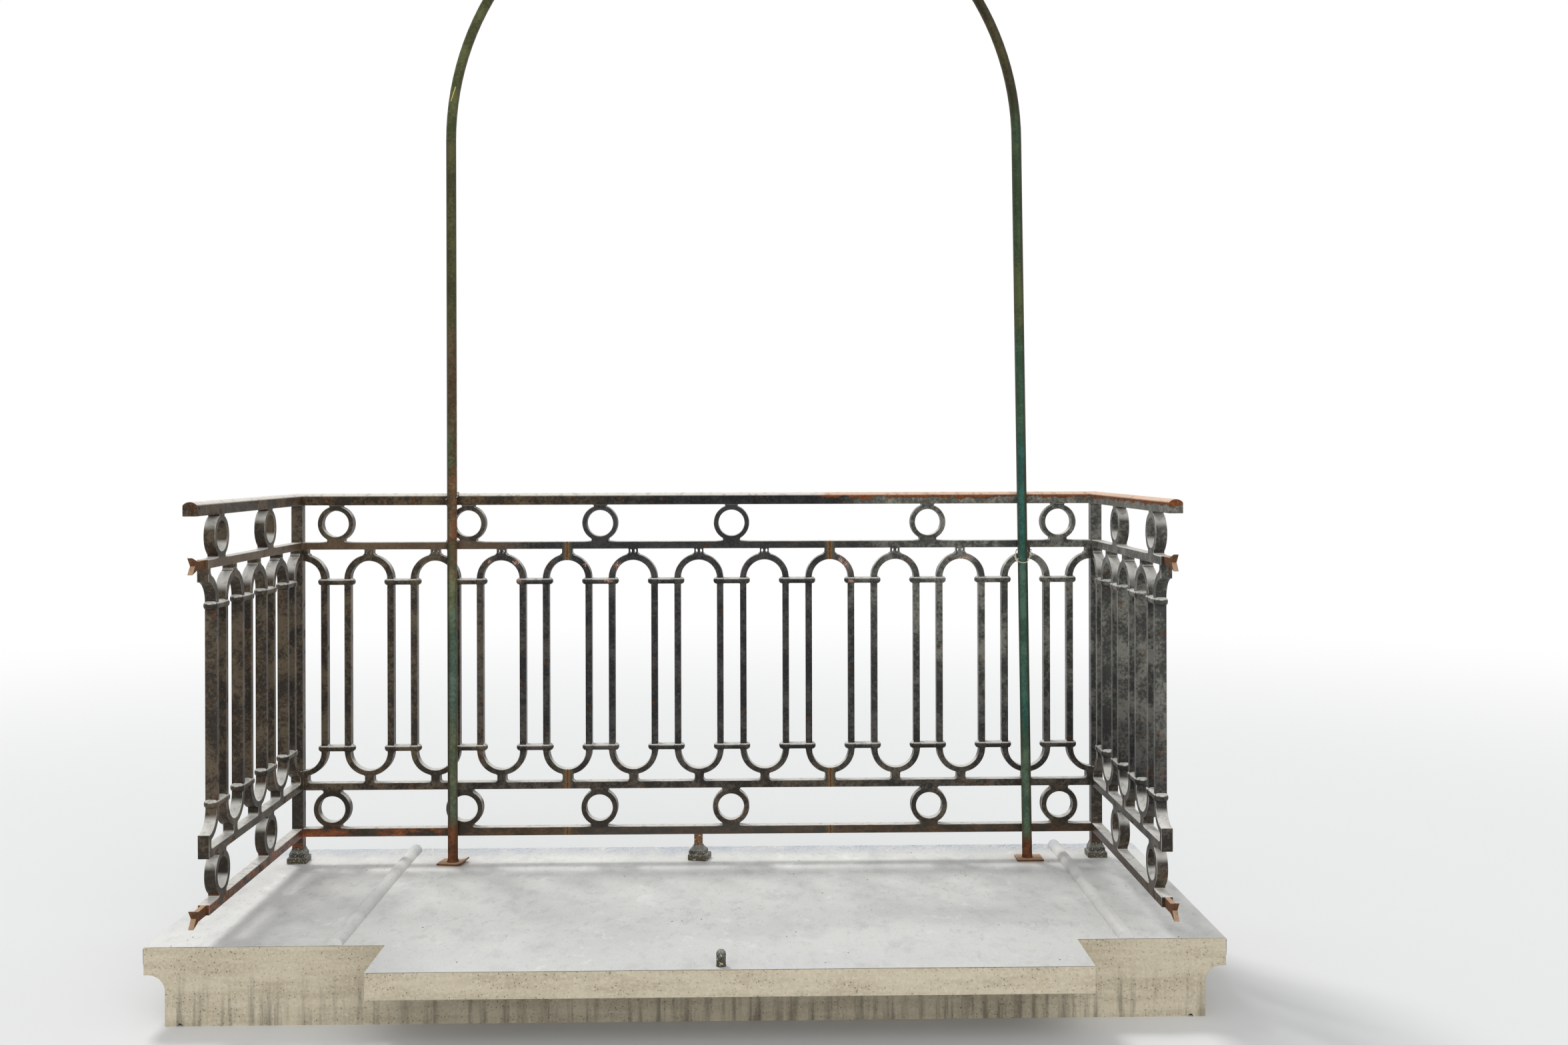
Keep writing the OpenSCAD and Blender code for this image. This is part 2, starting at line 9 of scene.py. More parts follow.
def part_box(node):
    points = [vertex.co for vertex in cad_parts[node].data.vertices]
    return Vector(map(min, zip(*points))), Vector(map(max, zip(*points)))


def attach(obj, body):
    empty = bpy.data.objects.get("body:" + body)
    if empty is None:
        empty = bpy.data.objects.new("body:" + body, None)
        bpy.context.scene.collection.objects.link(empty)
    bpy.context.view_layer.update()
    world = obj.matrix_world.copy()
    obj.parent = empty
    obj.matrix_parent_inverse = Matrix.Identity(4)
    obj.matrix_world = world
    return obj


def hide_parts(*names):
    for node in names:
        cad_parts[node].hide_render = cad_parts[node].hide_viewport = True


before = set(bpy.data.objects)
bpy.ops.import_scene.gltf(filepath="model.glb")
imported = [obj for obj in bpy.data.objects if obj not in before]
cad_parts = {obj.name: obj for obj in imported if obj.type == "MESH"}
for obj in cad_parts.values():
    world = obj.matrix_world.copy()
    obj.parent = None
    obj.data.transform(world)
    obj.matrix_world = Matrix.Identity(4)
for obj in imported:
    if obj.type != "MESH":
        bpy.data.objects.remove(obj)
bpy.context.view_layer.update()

scene = bpy.context.scene
scene.view_settings.view_transform = "Standard"


# Viewpoint
# The view is level and from inside, from a little above the handrail and a little right
# of its middle. The lens is shifted down, so that uprights stay upright.
PHOTO_WIDTH = 2352
PHOTO_HEIGHT = 1568
HORIZON_PX = 688
FOCAL_PX = 2312
VIEW_X = 0.146
VIEW_DISTANCE = 4.245
VIEW_HEIGHT = 1.10
VIEW_TURN = math.radians(-1.2)
VIEW_ROLL = math.radians(-0.14)
FLOOR_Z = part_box("floor_sheet_centre")[1].z


def middle_of(node):
    """The middle of a CAD piece's box."""
    low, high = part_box(node)
    return (low + high) / 2


RAIL_Y = middle_of("handrail_front").y

camera_data = bpy.data.cameras.new("view_from_room")
camera_data.sensor_width = 36.0
camera_data.lens = camera_data.sensor_width * FOCAL_PX / PHOTO_WIDTH
camera_data.shift_y = (HORIZON_PX - PHOTO_HEIGHT / 2) / PHOTO_WIDTH
camera = bpy.data.objects.new("view_from_room", camera_data)
camera.matrix_world = (
    Matrix.Translation((VIEW_X, RAIL_Y - VIEW_DISTANCE, FLOOR_Z + VIEW_HEIGHT))
    @ Matrix.Rotation(VIEW_TURN, 4, "Z")
    @ Matrix.Rotation(math.radians(90), 4, "X")
    @ Matrix.Rotation(VIEW_ROLL, 4, "Z")
)
scene.collection.objects.link(camera)
scene.camera = camera


# Studio
# A pale floor runs out into a white background. The sky light is even, one broad lamp
# stands high outside the railing, on the left, and another lights the inner side.
STAGE_HALF = 40.0
STAGE_ROUGHNESS = 0.9
FLOOR_COLOUR = (0.74, 0.74, 0.73, 1)
SKY_COLOUR = (0.95, 0.97, 1.0, 1)
SKY_STRENGTH = 0.6
PLAIN_WHITE = {"Color": (1, 1, 1, 1), "Strength": 1.0}
FADE_FROM = 3.0
FADE_TO = 9.0
SLAB_LOW, SLAB_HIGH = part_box("slab")


def add(kind, sockets=(), tree=None, **settings):
    """A shader node. Its sockets take plain values, or outputs, whose tree it then joins."""
    values = dict(sockets)
    for value in values.values():
        if isinstance(value, bpy.types.NodeSocket):
            tree = value.id_data
    made = tree.nodes.new("ShaderNode" + kind)
    for name, value in settings.items():
        setattr(made, name, value)
    for name, value in values.items():
        if isinstance(value, bpy.types.NodeSocket):
            tree.links.new(value, made.inputs[name])
        else:
            made.inputs[name].default_value = value
    return made


def calc(operation, *values):
    """The result of one sum."""
    return add("Math", enumerate(values), operation=operation).outputs[0]


times = partial(calc, "MULTIPLY")
plus = partial(calc, "ADD")


def vector_calc(operation, *values):
    """The result of one sum with vectors: a number, where it is a length or a dot product."""
    outputs = add("VectorMath", enumerate(values), operation=operation).outputs
    return outputs["Value" if operation in ("LENGTH", "DOT_PRODUCT") else "Vector"]


def ramp(value, low, high, first=0.0, last=1.0):
    """Runs smoothly from first to last while the value goes from low to high."""
    sockets = {"Value": value, "From Min": low, "From Max": high, "To Min": first, "To Max": last}
    return add("MapRange", sockets, interpolation_type="SMOOTHSTEP").outputs["Result"]


def seen_or_mirrored(tree):
    """1 for rays of the camera, of reflections and through glass, and 0 for lighting rays."""
    path = add("LightPath", tree=tree).outputs
    direct = plus(path["Is Camera Ray"], path["Is Glossy Ray"])
    total = add("Math", {0: direct, 1: path["Is Transmission Ray"]}, operation="ADD", use_clamp=True)
    return total.outputs[0]


def fade_to_white(shader, kind, share, output):
    """Lets a shader give way to plain white by that share, and links both to the output."""
    tree = shader.id_data
    white = add(kind, PLAIN_WHITE, tree=tree).outputs[0]
    blend = add("MixShader", {0: share, 1: shader, 2: white}).outputs[0]
    tree.links.new(blend, tree.nodes[output].inputs["Surface"])


stage_mesh = bpy.data.meshes.new("studio_floor")
corners = [(STAGE_HALF * x, STAGE_HALF * y, SLAB_LOW.z) for x, y in ((-1, -1), (1, -1), (1, 1), (-1, 1))]
stage_mesh.from_pydata(corners, [], [(0, 1, 2, 3)])
stage_floor = bpy.data.objects.new("studio_floor", stage_mesh)
scene.collection.objects.link(stage_floor)

floor_material = bpy.data.materials.new("studio_floor")
floor_material.use_nodes = True
tree = floor_material.node_tree
shader = tree.nodes["Principled BSDF"]
shader.inputs["Base Color"].default_value = FLOOR_COLOUR
shader.inputs["Roughness"].default_value = STAGE_ROUGHNESS
distance = vector_calc("LENGTH", add("TexCoord", tree=tree).outputs["Object"])
share = times(ramp(distance, FADE_FROM, FADE_TO), seen_or_mirrored(tree))
fade_to_white(shader.outputs[0], "Emission", share, "Material Output")
stage_mesh.materials.append(floor_material)

world = bpy.data.worlds.new("studio")
scene.world = world
world.use_nodes = True
tree = world.node_tree
sky = tree.nodes["Background"]
sky.inputs["Color"].default_value = SKY_COLOUR
sky.inputs["Strength"].default_value = SKY_STRENGTH
fade_to_white(sky.outputs[0], "Background", seen_or_mirrored(tree), "World Output")


def soft_sun(name, azimuth, elevation, strength, spread):
    """A broad lamp from that side: azimuth 0 is the inner side, and 90 the right."""
    lamp_data = bpy.data.lights.new(name, "SUN")
    lamp_data.energy = strength
    lamp_data.angle = math.radians(spread)
    lamp = bpy.data.objects.new(name, lamp_data)
    turn = math.radians(azimuth)
    rise = math.radians(elevation)
    level = math.cos(rise)
    towards = Vector((math.sin(turn) * level, -math.cos(turn) * level, math.sin(rise)))
    lamp.rotation_euler = towards.to_track_quat("Z", "Y").to_euler()
    scene.collection.objects.link(lamp)


soft_sun("sky_lamp", 212, 52, 1.5, 14)
soft_sun("room_lamp", 15, 30, 0.95, 60)


# Slab
# One block of pale limestone, bedded in the wall, with a moulded edge and a sill that
# runs back through the wall. Rain has streaked it, and its faces that turn downwards are darker.
def srgb(red, green, blue):
    """A colour as it shows on the screen, from 0 to 255, turned into the shader's own values."""
    shares = [value / 255 for value in (red, green, blue)]
    linear = [s / 12.92 if s <= 0.04045 else ((s + 0.055) / 1.055) ** 2.4 for s in shares]
    return (*linear, 1.0)


minus = partial(calc, "SUBTRACT")


def over(share, below, above):
    """One colour laid over another by its share. Plain colours go from 0 to 255."""
    below, above = (srgb(*tone) if isinstance(tone, tuple) else tone for tone in (below, above))
    return add("Mix", {0: share, 6: below, 7: above}, data_type="RGBA").outputs[2]


def layered(colour, *coats):
    """A colour under coats of (share, tone), each over the one before."""
    for share, tone in coats:
        colour = over(share, colour, tone)
    return colour


def grain(place, scale, detail=3.0, roughness=0.55):
    """Noise with about that many blotches a metre."""
    sockets = {"Vector": place, "Scale": scale, "Detail": detail, "Roughness": roughness}
    return add("TexNoise", sockets).outputs[0]


def cells(place, scale):
    """How far a spot lies from the nearest of scattered points, about that many a metre."""
    return add("TexVoronoi", {"Vector": place, "Scale": scale}).outputs["Distance"]


def stretched(place, along_x, along_y, along_z):
    """The place on the piece, with each direction drawn out or drawn together."""
    return add("Mapping", {"Vector": place, "Scale": (along_x, along_y, along_z)}).outputs[0]


def axes_of(vector):
    return add("SeparateXYZ", {"Vector": vector}).outputs


def normal_at(place):
    """The way in which the surface faces there."""
    return add("NewGeometry", tree=place.id_data).outputs["Normal"]


def new_finish(name, specular):
    """A material, and the place on the piece that its patterns follow."""
    material = bpy.data.materials.new(name)
    material.use_nodes = True
    tree = material.node_tree
    tree.nodes["Principled BSDF"].inputs["Specular IOR Level"].default_value = specular
    return material, add("TexCoord", tree=tree).outputs["Object"]


def finish_with(colour, roughness, height, depth):
    """Links a finish to its shader, with a relief of that depth in metres."""
    tree = colour.id_data
    shader = tree.nodes["Principled BSDF"]
    tree.links.new(colour, shader.inputs["Base Color"])
    tree.links.new(roughness, shader.inputs["Roughness"])
    bump = add("Bump", {"Height": height, "Distance": depth})
    tree.links.new(bump.outputs["Normal"], shader.inputs["Normal"])


stone, place = new_finish("limestone", 0.3)
beds = grain(stretched(place, 1, 1, 7), 5, 4)
shells = grain(place, 140, 4, 0.65)
streaks = grain(stretched(place, 22, 22, 1.6), 1.6, 5, 0.6)
pits = ramp(cells(place, 130), 0.22, 0.1)
washed = ramp(axes_of(place)["Z"], SLAB_HIGH.z - 0.02, SLAB_LOW.z, 0.0, 0.75)
# Faces that turn downwards are darker.
turned_down = ramp(axes_of(normal_at(place))["Z"], -0.15, -0.75)
colour = layered(
    over(ramp(beds, 0.35, 0.65), (205, 194, 170), (186, 174, 150)),
    (ramp(shells, 0.42, 0.7, 0, 0.6), (218, 210, 190)),
    (times(pits, ramp(beds, 0.4, 0.6)), (136, 124, 104)),
    (times(ramp(streaks, 0.46, 0.68), washed), (104, 98, 86)),
    (times(turned_down, ramp(shells, 0.25, 0.6, 0.55, 0.95)), (76, 72, 66)),
)
relief = minus(shells, times(pits, 0.8))
finish_with(colour, ramp(shells, 0.3, 0.7, 0.95, 0.75), relief, 0.0015)
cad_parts["slab"].material_slots[0].material = stone


# Floor sheets
# Three pale grey metal sheets cover the slab. They are dressed down over its edge by
# hand, so the outer rim is crumpled and the fold is soft. They rest on the stone.
SHEET_T = 0.0008
SHEET_FOLD = 0.005
SHEET_STEP = 0.022
RIM_BAND = 0.09
RIM_STEP = 0.009
DEEPEST_DENT = 0.0011
HEM_RIPPLE = 0.0011
HEM_RAGGED = 0.005
RIM_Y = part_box("floor_sheet_centre")[1].y
RIM_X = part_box("floor_sheet_right")[1].x
SILL_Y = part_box("floor_sheet_centre")[0].y + 0.00005
SILL_W = 1.575
SILL_X = 0.100
SILL_ENDS = (SILL_X - SILL_W / 2, SILL_X + SILL_W / 2)
APRON_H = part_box("floor_sheet_left")[1].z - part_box("floor_sheet_left")[0].z
STAIN_REACH = (0.085, 0.075)


def spaced(low, high, gap, also=()):
    """Even steps from low to high, with other places among them."""
    count = max(1, round((high - low) / gap))
    places = {round(low + (high - low) * i / count, 5) for i in range(count + 1)}
    return sorted(places | {round(value, 5) for value in also if low < value < high})


def dent(x, y):
    """How far the sheet lies under its flat height: broad waves, and crumples near the rim."""
    wave = 0.5 + 0.5 * noise.noise(Vector((x * 2.6, y * 2.6, 0.3)))
    near_rim = max(0.0, 1 - min(RIM_Y - y, RIM_X - abs(x)) / RIM_BAND)
    fold = abs(noise.noise(Vector((x * 17, y * 26, 2.7))))
    crease = 1 - min(1.0, 5 * abs(noise.noise(Vector((x * 9, y * 21, 5.1)))))
    return DEEPEST_DENT * min(1.0, 0.55 * wave + near_rim * (0.9 * fold + 0.55 * crease))


def turned_out(mesh):
    """The mesh with all its faces turned outwards."""
    work = bmesh.new()
    work.from_mesh(mesh)
    bmesh.ops.recalc_face_normals(work, faces=work.faces)
    work.to_mesh(mesh)
    work.free()
    return mesh


def settle(name, mesh, material, node, sharp=20):
    """Shades a mesh, and makes it the piece that stands for a CAD node."""
    turned_out(mesh).shade_smooth()
    mesh.set_sharp_from_angle(angle=math.radians(sharp))
    mesh.materials.clear()
    mesh.materials.append(material)
    made = bpy.data.objects.new(name, mesh)
    scene.collection.objects.link(made)
    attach(made, "root")
    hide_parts(node)


def with_modifier(mesh, kind, **settings):
    """The mesh after one modifier."""
    holder = bpy.data.objects.new("holder", mesh)
    scene.collection.objects.link(holder)
    modifier = holder.modifiers.new("shape", kind)
    for name, value in settings.items():
        setattr(modifier, name, value)
    depsgraph = bpy.context.evaluated_depsgraph_get()
    result = bpy.data.meshes.new_from_object(holder.evaluated_get(depsgraph))
    bpy.data.objects.remove(holder)
    return result


def flat_part(work, xs, ys):
    """Corners of a sheet's flat part by column and row, with the faces between them."""
    grid = {}
    for i, x in enumerate(xs):
        for j, y in enumerate(ys):
            if y >= 0 or SILL_ENDS[0] - 1e-4 <= x <= SILL_ENDS[1] + 1e-4:
                grid[i, j] = work.verts.new((x, y, FLOOR_Z - dent(x, y)))
    for i, j in list(grid):
        corners = [(i, j), (i + 1, j), (i + 1, j + 1), (i, j + 1)]
        if all(corner in grid for corner in corners):
            work.faces.new([grid[corner] for corner in corners])
    return grid


def apron(work, rim, outward):
    """The faces from the rim round the fold and down the slab's edge, to a ragged hem."""
    turns = [math.radians(angle) for angle in (22.5, 45, 67.5, 90)]
    profile = [(SHEET_FOLD * math.sin(turn), SHEET_FOLD * (1 - math.cos(turn))) for turn in turns]
    profile += [(SHEET_FOLD, APRON_H * share) for share in (0.3, 0.5, 0.75, 1.0)]
    start = [corner.co.copy() for corner in rim]
    upper = rim
    for out, down in profile:
        loose = down / APRON_H
        lower = []
        for place, way in zip(start, outward):
            wave = 0.5 + 0.5 * noise.noise(place * 23 + Vector((0, 0, down * 60)))
            ragged = HEM_RAGGED * loose ** 4 * abs(noise.noise(place * 9))
            lower.append(work.verts.new(place + way * (out - HEM_RIPPLE * loose * wave)
                                        - Vector((0, 0, down - ragged))))
        for k in range(len(lower) - 1):
            work.faces.new((upper[k], lower[k], lower[k + 1], upper[k + 1]))
        upper = lower


def dressed_sheet(x_from, x_to, sill):
    """A thin sheet between two lines, folded down over the slab's front edge and its end."""
    left_end = x_from < 0.01 - RIM_X
    right_end = x_to > RIM_X - 0.01
    xs = spaced(x_from + SHEET_FOLD * left_end, x_to - SHEET_FOLD * right_end, SHEET_STEP,
                SILL_ENDS if sill else ())
    ys = spaced(0.0, RIM_Y - RIM_BAND, SHEET_STEP)[:-1]
    ys += spaced(RIM_Y - RIM_BAND, RIM_Y - SHEET_FOLD, RIM_STEP)
    if sill:
        ys = spaced(SILL_Y, 0.0, SHEET_STEP)[:-1] + ys
    work = bmesh.new()
    grid = flat_part(work, xs, ys)
    first_row = ys.index(0.0)
    last_i = len(xs) - 1
    last_j = len(ys) - 1
    rim = [(i, last_j) for i in range(len(xs))]
    if left_end:
        rim = [(0, j) for j in range(first_row, last_j)] + rim
    if right_end:
        rim += [(last_i, j) for j in range(last_j - 1, first_row - 1, -1)]
    outward = [
        Vector((right_end * (i == last_i) - left_end * (i == 0), 1.0 * (j == last_j), 0.0))
        for i, j in rim
    ]
    apron(work, [grid[key] for key in rim], outward)
    bmesh.ops.recalc_face_normals(work, faces=work.faces)
    top = min(work.faces, key=lambda face: (face.calc_center_median() - Vector((0, 0.4, FLOOR_Z))).length)
    if top.normal.z < 0:
        bmesh.ops.reverse_faces(work, faces=work.faces)
    mesh = bpy.data.meshes.new("sheet")
    work.to_mesh(mesh)
    work.free()
    return with_modifier(mesh, "SOLIDIFY", thickness=SHEET_T, offset=-1.0)


absolute = partial(calc, "ABSOLUTE")

zinc, place = new_finish("old_sheet_metal", 0.45)
axes = axes_of(place)
clouds = grain(place, 3.2, 5, 0.6)
blotches = grain(stretched(place, 1, 0.6, 1), 17, 6, 0.62)
fine = grain(place, 260, 3, 0.6)
to_rim = minus(RIM_Y, axes["Y"])
# A painted bluish reflection of the sky lies on the sheet near its rim.
painted_sky_reflection = times(ramp(to_rim, 0.11, 0.03), ramp(blotches, 0.35, 0.65, 0.2, 0.8))
grime = times(ramp(axes["Y"], 0.12, -0.17, 0.0, 0.4), ramp(clouds, 0.4, 0.6, 0.4, 1))
colour = layered(
    over(ramp(clouds, 0.36, 0.62), (212, 211, 207), (226, 225, 220)),
    (ramp(blotches, 0.5, 0.7, 0, 0.4), (186, 187, 186)),
    (ramp(blotches, 0.42, 0.3, 0, 0.6), (240, 239, 235)),
    (ramp(fine, 0.6, 0.7, 0, 0.35), (150, 151, 150)),
    (painted_sky_reflection, (206, 212, 221)),
    (grime, (162, 163, 162)),
)
for side in ("left", "right"):
    around = vector_calc("SUBTRACT", place, middle_of("base_plate_" + side))
    away = vector_calc("LENGTH", stretched(around, 1 / STAIN_REACH[0], 1 / STAIN_REACH[1], 1))
    stained = ramp(plus(away, times(blotches, 0.7)), 1.35, 0.7, 0.0, 0.4)
    colour = over(stained, colour, (190, 168, 144))
drawn_out = stretched(place, 1, 0.5, 1)
crumb = times(ramp(cells(drawn_out, 30), 0.07, 0.055), ramp(grain(place, 9, 2), 0.47, 0.58))
stains = grain(drawn_out, 52, 7, 0.7)
scratches = grain(stretched(place, 60, 4, 8), 4, 4, 0.7)
at_rim = ramp(to_rim, 0.1, 0.02)
crumples = grain(stretched(place, 1, 0.8, 1), 34, 4, 0.6)
creased = times(at_rim, absolute(minus(crumples, 0.5)))
colour = layered(
    colour,
    (ramp(cells(drawn_out, 110), 0.16, 0.11, 0, 0.4), (158, 158, 156)),
    (times(crumb, 0.85), (96, 94, 90)),
    (ramp(stains, 0.57, 0.61, 0, 0.3), (178, 178, 175)),
    (ramp(scratches, 0.62, 0.68, 0, 0.3), (236, 236, 233)),
    # Painted bluish shade lies along the creases near the rim.
    (times(at_rim, ramp(creased, 0.012, 0.0, 0.0, 0.6)), (164, 171, 182)),
)
relief = reduce(plus, [
    times(value, share)
    for value, share in ((fine, 0.06), (stains, 0.25), (blotches, 0.6), (creased, 14.0), (crumb, -0.6))
])
finish_with(colour, ramp(blotches, 0.3, 0.7, 0.42, 0.62), relief, 0.0016)

joints = [corner.x for side in ("left", "right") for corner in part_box("floor_sheet_" + side)]
for side, x_from, x_to in zip(("left", "centre", "right"), joints, joints[1:]):
    sheet = dressed_sheet(x_from, x_to, side == "centre")
    settle("dressed_floor_sheet_" + side, sheet, zinc, "floor_sheet_" + side, sharp=35)


# Batten rolls
# Two half-round rolls of the same metal cover the joints between the sheets. They run
# from the wall to the rim, and each ends there in a rounded, hand-beaten cap.
ROLL_SIDES = 18
ROLL_STEP = 0.018
ROLL_DENT = 0.0016
CAP_TURNS = (20, 40, 58, 74, 86)


def loft(rings, closed=False):
    """Corners and faces of a solid through rings of equal count, which has two ends or is closed."""
    sides = len(rings[0])
    corners = [point for ring in rings for point in ring]
    starts = [r * sides for r in range(len(rings))]
    steps = list(zip(starts, starts[1:] + starts[:1] * closed))
    faces = [
        (here + i, here + (i + 1) % sides, after + (i + 1) % sides, after + i)
        for here, after in steps
        for i in range(sides)
    ]
    if not closed:
        faces.append(tuple(reversed(range(sides))))
        faces.append(tuple(range(starts[-1], starts[-1] + sides)))
    return corners, faces


def mesh_of(*solids):
    """One mesh of several lofts."""
    corners, faces = [], []
    for more_corners, more_faces in solids:
        faces += [tuple(len(corners) + i for i in face) for face in more_faces]
        corners += more_corners
    mesh = bpy.data.meshes.new("made")
    mesh.from_pydata(corners, [], faces)
    return mesh


def roll_ring(x, y, radius, height):
    """One half-round ring of a roll, beaten a little out of shape."""
    ring = []
    for i in range(ROLL_SIDES + 1):
        turn = math.pi * i / ROLL_SIDES
        way = Vector((math.cos(turn), 0, math.sin(turn)))
        hammered = ROLL_DENT * abs(noise.noise(Vector((x, y * 28, turn * 2.1)))) * math.sin(turn)
        spot = Vector((x + radius * way.x, y, FLOOR_Z + height * way.z))
        ring.append(spot - way * hammered)
    return ring


for side in ("left", "right"):
    name = "batten_roll_" + side
    low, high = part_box(name)
    x = (low.x + high.x) / 2
    radius = (high.x - low.x) / 2
    height = high.z - FLOOR_Z
    straight = high.y - radius
    rings = [roll_ring(x, y, radius, height) for y in spaced(low.y, straight, ROLL_STEP)]
    for turn in map(math.radians, CAP_TURNS):
        shrink = math.cos(turn)
        y = straight + radius * math.sin(turn)
        rings.append(roll_ring(x, y, radius * shrink, height * shrink ** 0.7))
    settle("beaten_" + name, mesh_of(loft(rings)), zinc, name, sharp=40)


# Shutter stop
# A short turned stub of iron on the sill. Knocks have worn the dark paint off its round
# head.
STOP_SIDES = 28
STOP_PROFILE = ((1.0, 0.0), (1.0, 0.04), (0.94, 0.07), (0.94, 0.6), (0.98, 0.68), (0.93, 0.8),
                (0.78, 0.9), (0.52, 0.97), (0.2, 1.0))


def disc(centre, radius, z, sides):
    """A level ring of points."""
    turns = [math.tau * i / sides for i in range(sides)]
    return [Vector((centre.x + radius * math.cos(turn), centre.y + radius * math.sin(turn), z))
            for turn in turns]


def new_group(name, inputs, outputs):
    """A node group with inputs as {name: value} and outputs as {name: kind of socket}."""
    group = bpy.data.node_groups.new(name, "ShaderNodeTree")
    kinds = {3: "Vector", 4: "Color"}
    for socket_name, value in inputs.items():
        kind = "Float" if isinstance(value, float) else kinds[len(value)]
        socket = group.interface.new_socket(socket_name, in_out="INPUT", socket_type="NodeSocket" + kind)
        socket.default_value = value
    for socket_name, kind in outputs.items():
        group.interface.new_socket(socket_name, in_out="OUTPUT", socket_type="NodeSocket" + kind)
    given = group.nodes.new("NodeGroupInput").outputs
    result = group.nodes.new("NodeGroupOutput").inputs
    return group, given, result


def put_out(result, **values):
    """Links what a group makes to its outputs."""
    for name, value in values.items():
        value.id_data.links.new(value, result[name])


def use(group, **sockets):
    """The outputs of a node group, placed in the tree of what it takes in."""
    return add("Group", sockets, node_tree=group).outputs


# Rust comes up in ragged islands: dark brown at the heart, orange where it is fresh.
rust, given, result = new_group(
    "rust",
    {"Place": (0.0, 0.0, 0.0), "Scale": 30.0, "Cover": 0.3},
    {"Mask": "Float", "Colour": "Color", "Height": "Float"},
)
islands = grain(given["Place"], given["Scale"], 6, 0.66)
level = minus(0.74, times(given["Cover"], 0.48))
flake = grain(given["Place"], times(given["Scale"], 5.5), 4, 0.65)
rusty = over(ramp(flake, 0.38, 0.58), (54, 38, 26), (94, 62, 38))
put_out(
    result,
    Mask=ramp(minus(islands, level), -0.03, 0.03),
    Colour=over(ramp(flake, 0.58, 0.72), rusty, (164, 94, 50)),
    Height=plus(islands, times(flake, 0.5)),
)

# Pale dust and weathering lie on whatever faces the sky, and the same pale mark paints a highlight on
# those faces.
dust_and_sheen, given, result = new_group("dust_and_sheen", {"Place": (0.0, 0.0, 0.0), "Amount": 0.7}, {"Mask": "Float"})
broken = ramp(grain(given["Place"], 55, 4, 0.6), 0.3, 0.5, 0.6, 1.0)
facing_up = times(ramp(axes_of(normal_at(given["Place"]))["Z"], 0.25, 0.62), broken)
put_out(result, Mask=times(facing_up, given["Amount"]))

# Old oil paint on iron: two tones in blotches, with fine pale specks.
paint, given, result = new_group(
    "old_paint",
    {"Place": (0.0, 0.0, 0.0), "Dark": (0.02, 0.02, 0.02, 1.0), "Worn": (0.06, 0.06, 0.06, 1.0)},
    {"Colour": "Color", "Height": "Float"},
)
small = grain(given["Place"], 120, 5, 0.68)
tone = plus(times(grain(given["Place"], 14, 4, 0.6), 0.55), times(small, 0.45))
painted = over(ramp(tone, 0.43, 0.6), given["Dark"], given["Worn"])
specks = ramp(grain(given["Place"], 480, 2, 0.5), 0.63, 0.7, 0, 0.3)
put_out(result, Colour=over(specks, painted, (146, 142, 132)), Height=small)


def old_paint(place, dark, worn):
    """The outputs of old paint in two tones, which go from 0 to 255."""
    return use(paint, Place=place, Dark=srgb(*dark), Worn=srgb(*worn))


dark_iron, place = new_finish("weathered_dark_paint", 0.22)
painted = old_paint(place, (46, 45, 40), (92, 92, 84))
rusted = use(rust, Place=place, Scale=60.0, Cover=0.24)
above_floor = minus(axes_of(place)["Z"], FLOOR_Z)
stem_tone = over(ramp(rusted["Height"], 0.6, 0.9), (84, 56, 36), (142, 94, 54))
colour = layered(
    painted["Colour"],
    (rusted["Mask"], rusted["Colour"]),
    (ramp(above_floor, 0.018, 0.012, 0.0, 0.6), (78, 68, 48)),
    (ramp(above_floor, 0.036, 0.046, 0.0, 0.85), stem_tone),
    (ramp(grain(place, 230, 3, 0.62), 0.57, 0.63, 0, 0.75), (190, 186, 172)),
    (ramp(cells(place, 210), 0.2, 0.12, 0, 0.7), (206, 203, 190)),
    # Pale dust, with a painted highlight, on the upward faces.
    (use(dust_and_sheen, Place=place, Amount=0.55)["Mask"], (150, 148, 138)),
)
relief = plus(painted["Height"], rusted["Height"])
finish_with(colour, ramp(rusted["Mask"], 0, 1, 0.45, 0.85), relief, 0.001)

low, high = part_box("shutter_stop")
rings = [
    disc(middle_of("shutter_stop"), (high.x - low.x) / 2 * reach, FLOOR_Z + (high.z - FLOOR_Z) * share,
         STOP_SIDES)
    for reach, share in STOP_PROFILE
]
settle("turned_shutter_stop", mesh_of(loft(rings)), dark_iron, "shutter_stop", sharp=40)


# Feet
# Cast pedestals carry the railing: a square plinth, a bell with an ogee side and, in
# the middle of the front, a round stem. The middle one has turned on its fixing.
FOOT_TURN = math.radians(-15)
PLINTH_HALF = 0.0265
PLINTH_H = 0.016
PLINTH_CORNER = 0.003
BELL_HALF = 0.022
BELL_CORNER = 0.004
BELL_TOP = 0.0395
STEM_R = 0.012
STEM_COLLAR = 0.0015
STEM_ASIDE = -0.003
CORNER_NECK_HALF = 0.0158
CORNER_NECK_R = 0.002
FOOT_H = 0.070
OGEE = ((1.0, 0.0), (1.0, 0.3), (0.93, 0.4), (0.72, 0.52), (0.42, 0.66), (0.16, 0.82), (0.03, 0.94),
        (0.0, 1.0))


def rounded(half_w, half_d, corner, steps=3):
    """A flat ring with rounded corners, round the origin."""
    ring = []
    for i, (across, along) in enumerate(((1, 1), (-1, 1), (-1, -1), (1, -1))):
        for step in range(steps + 1):
            turn = math.radians(90 * i + 90 * step / steps)
            ring.append(Vector((
                across * (half_w - corner) + corner * math.cos(turn),
                along * (half_d - corner) + corner * math.sin(turn),
                0,
            )))
    return ring


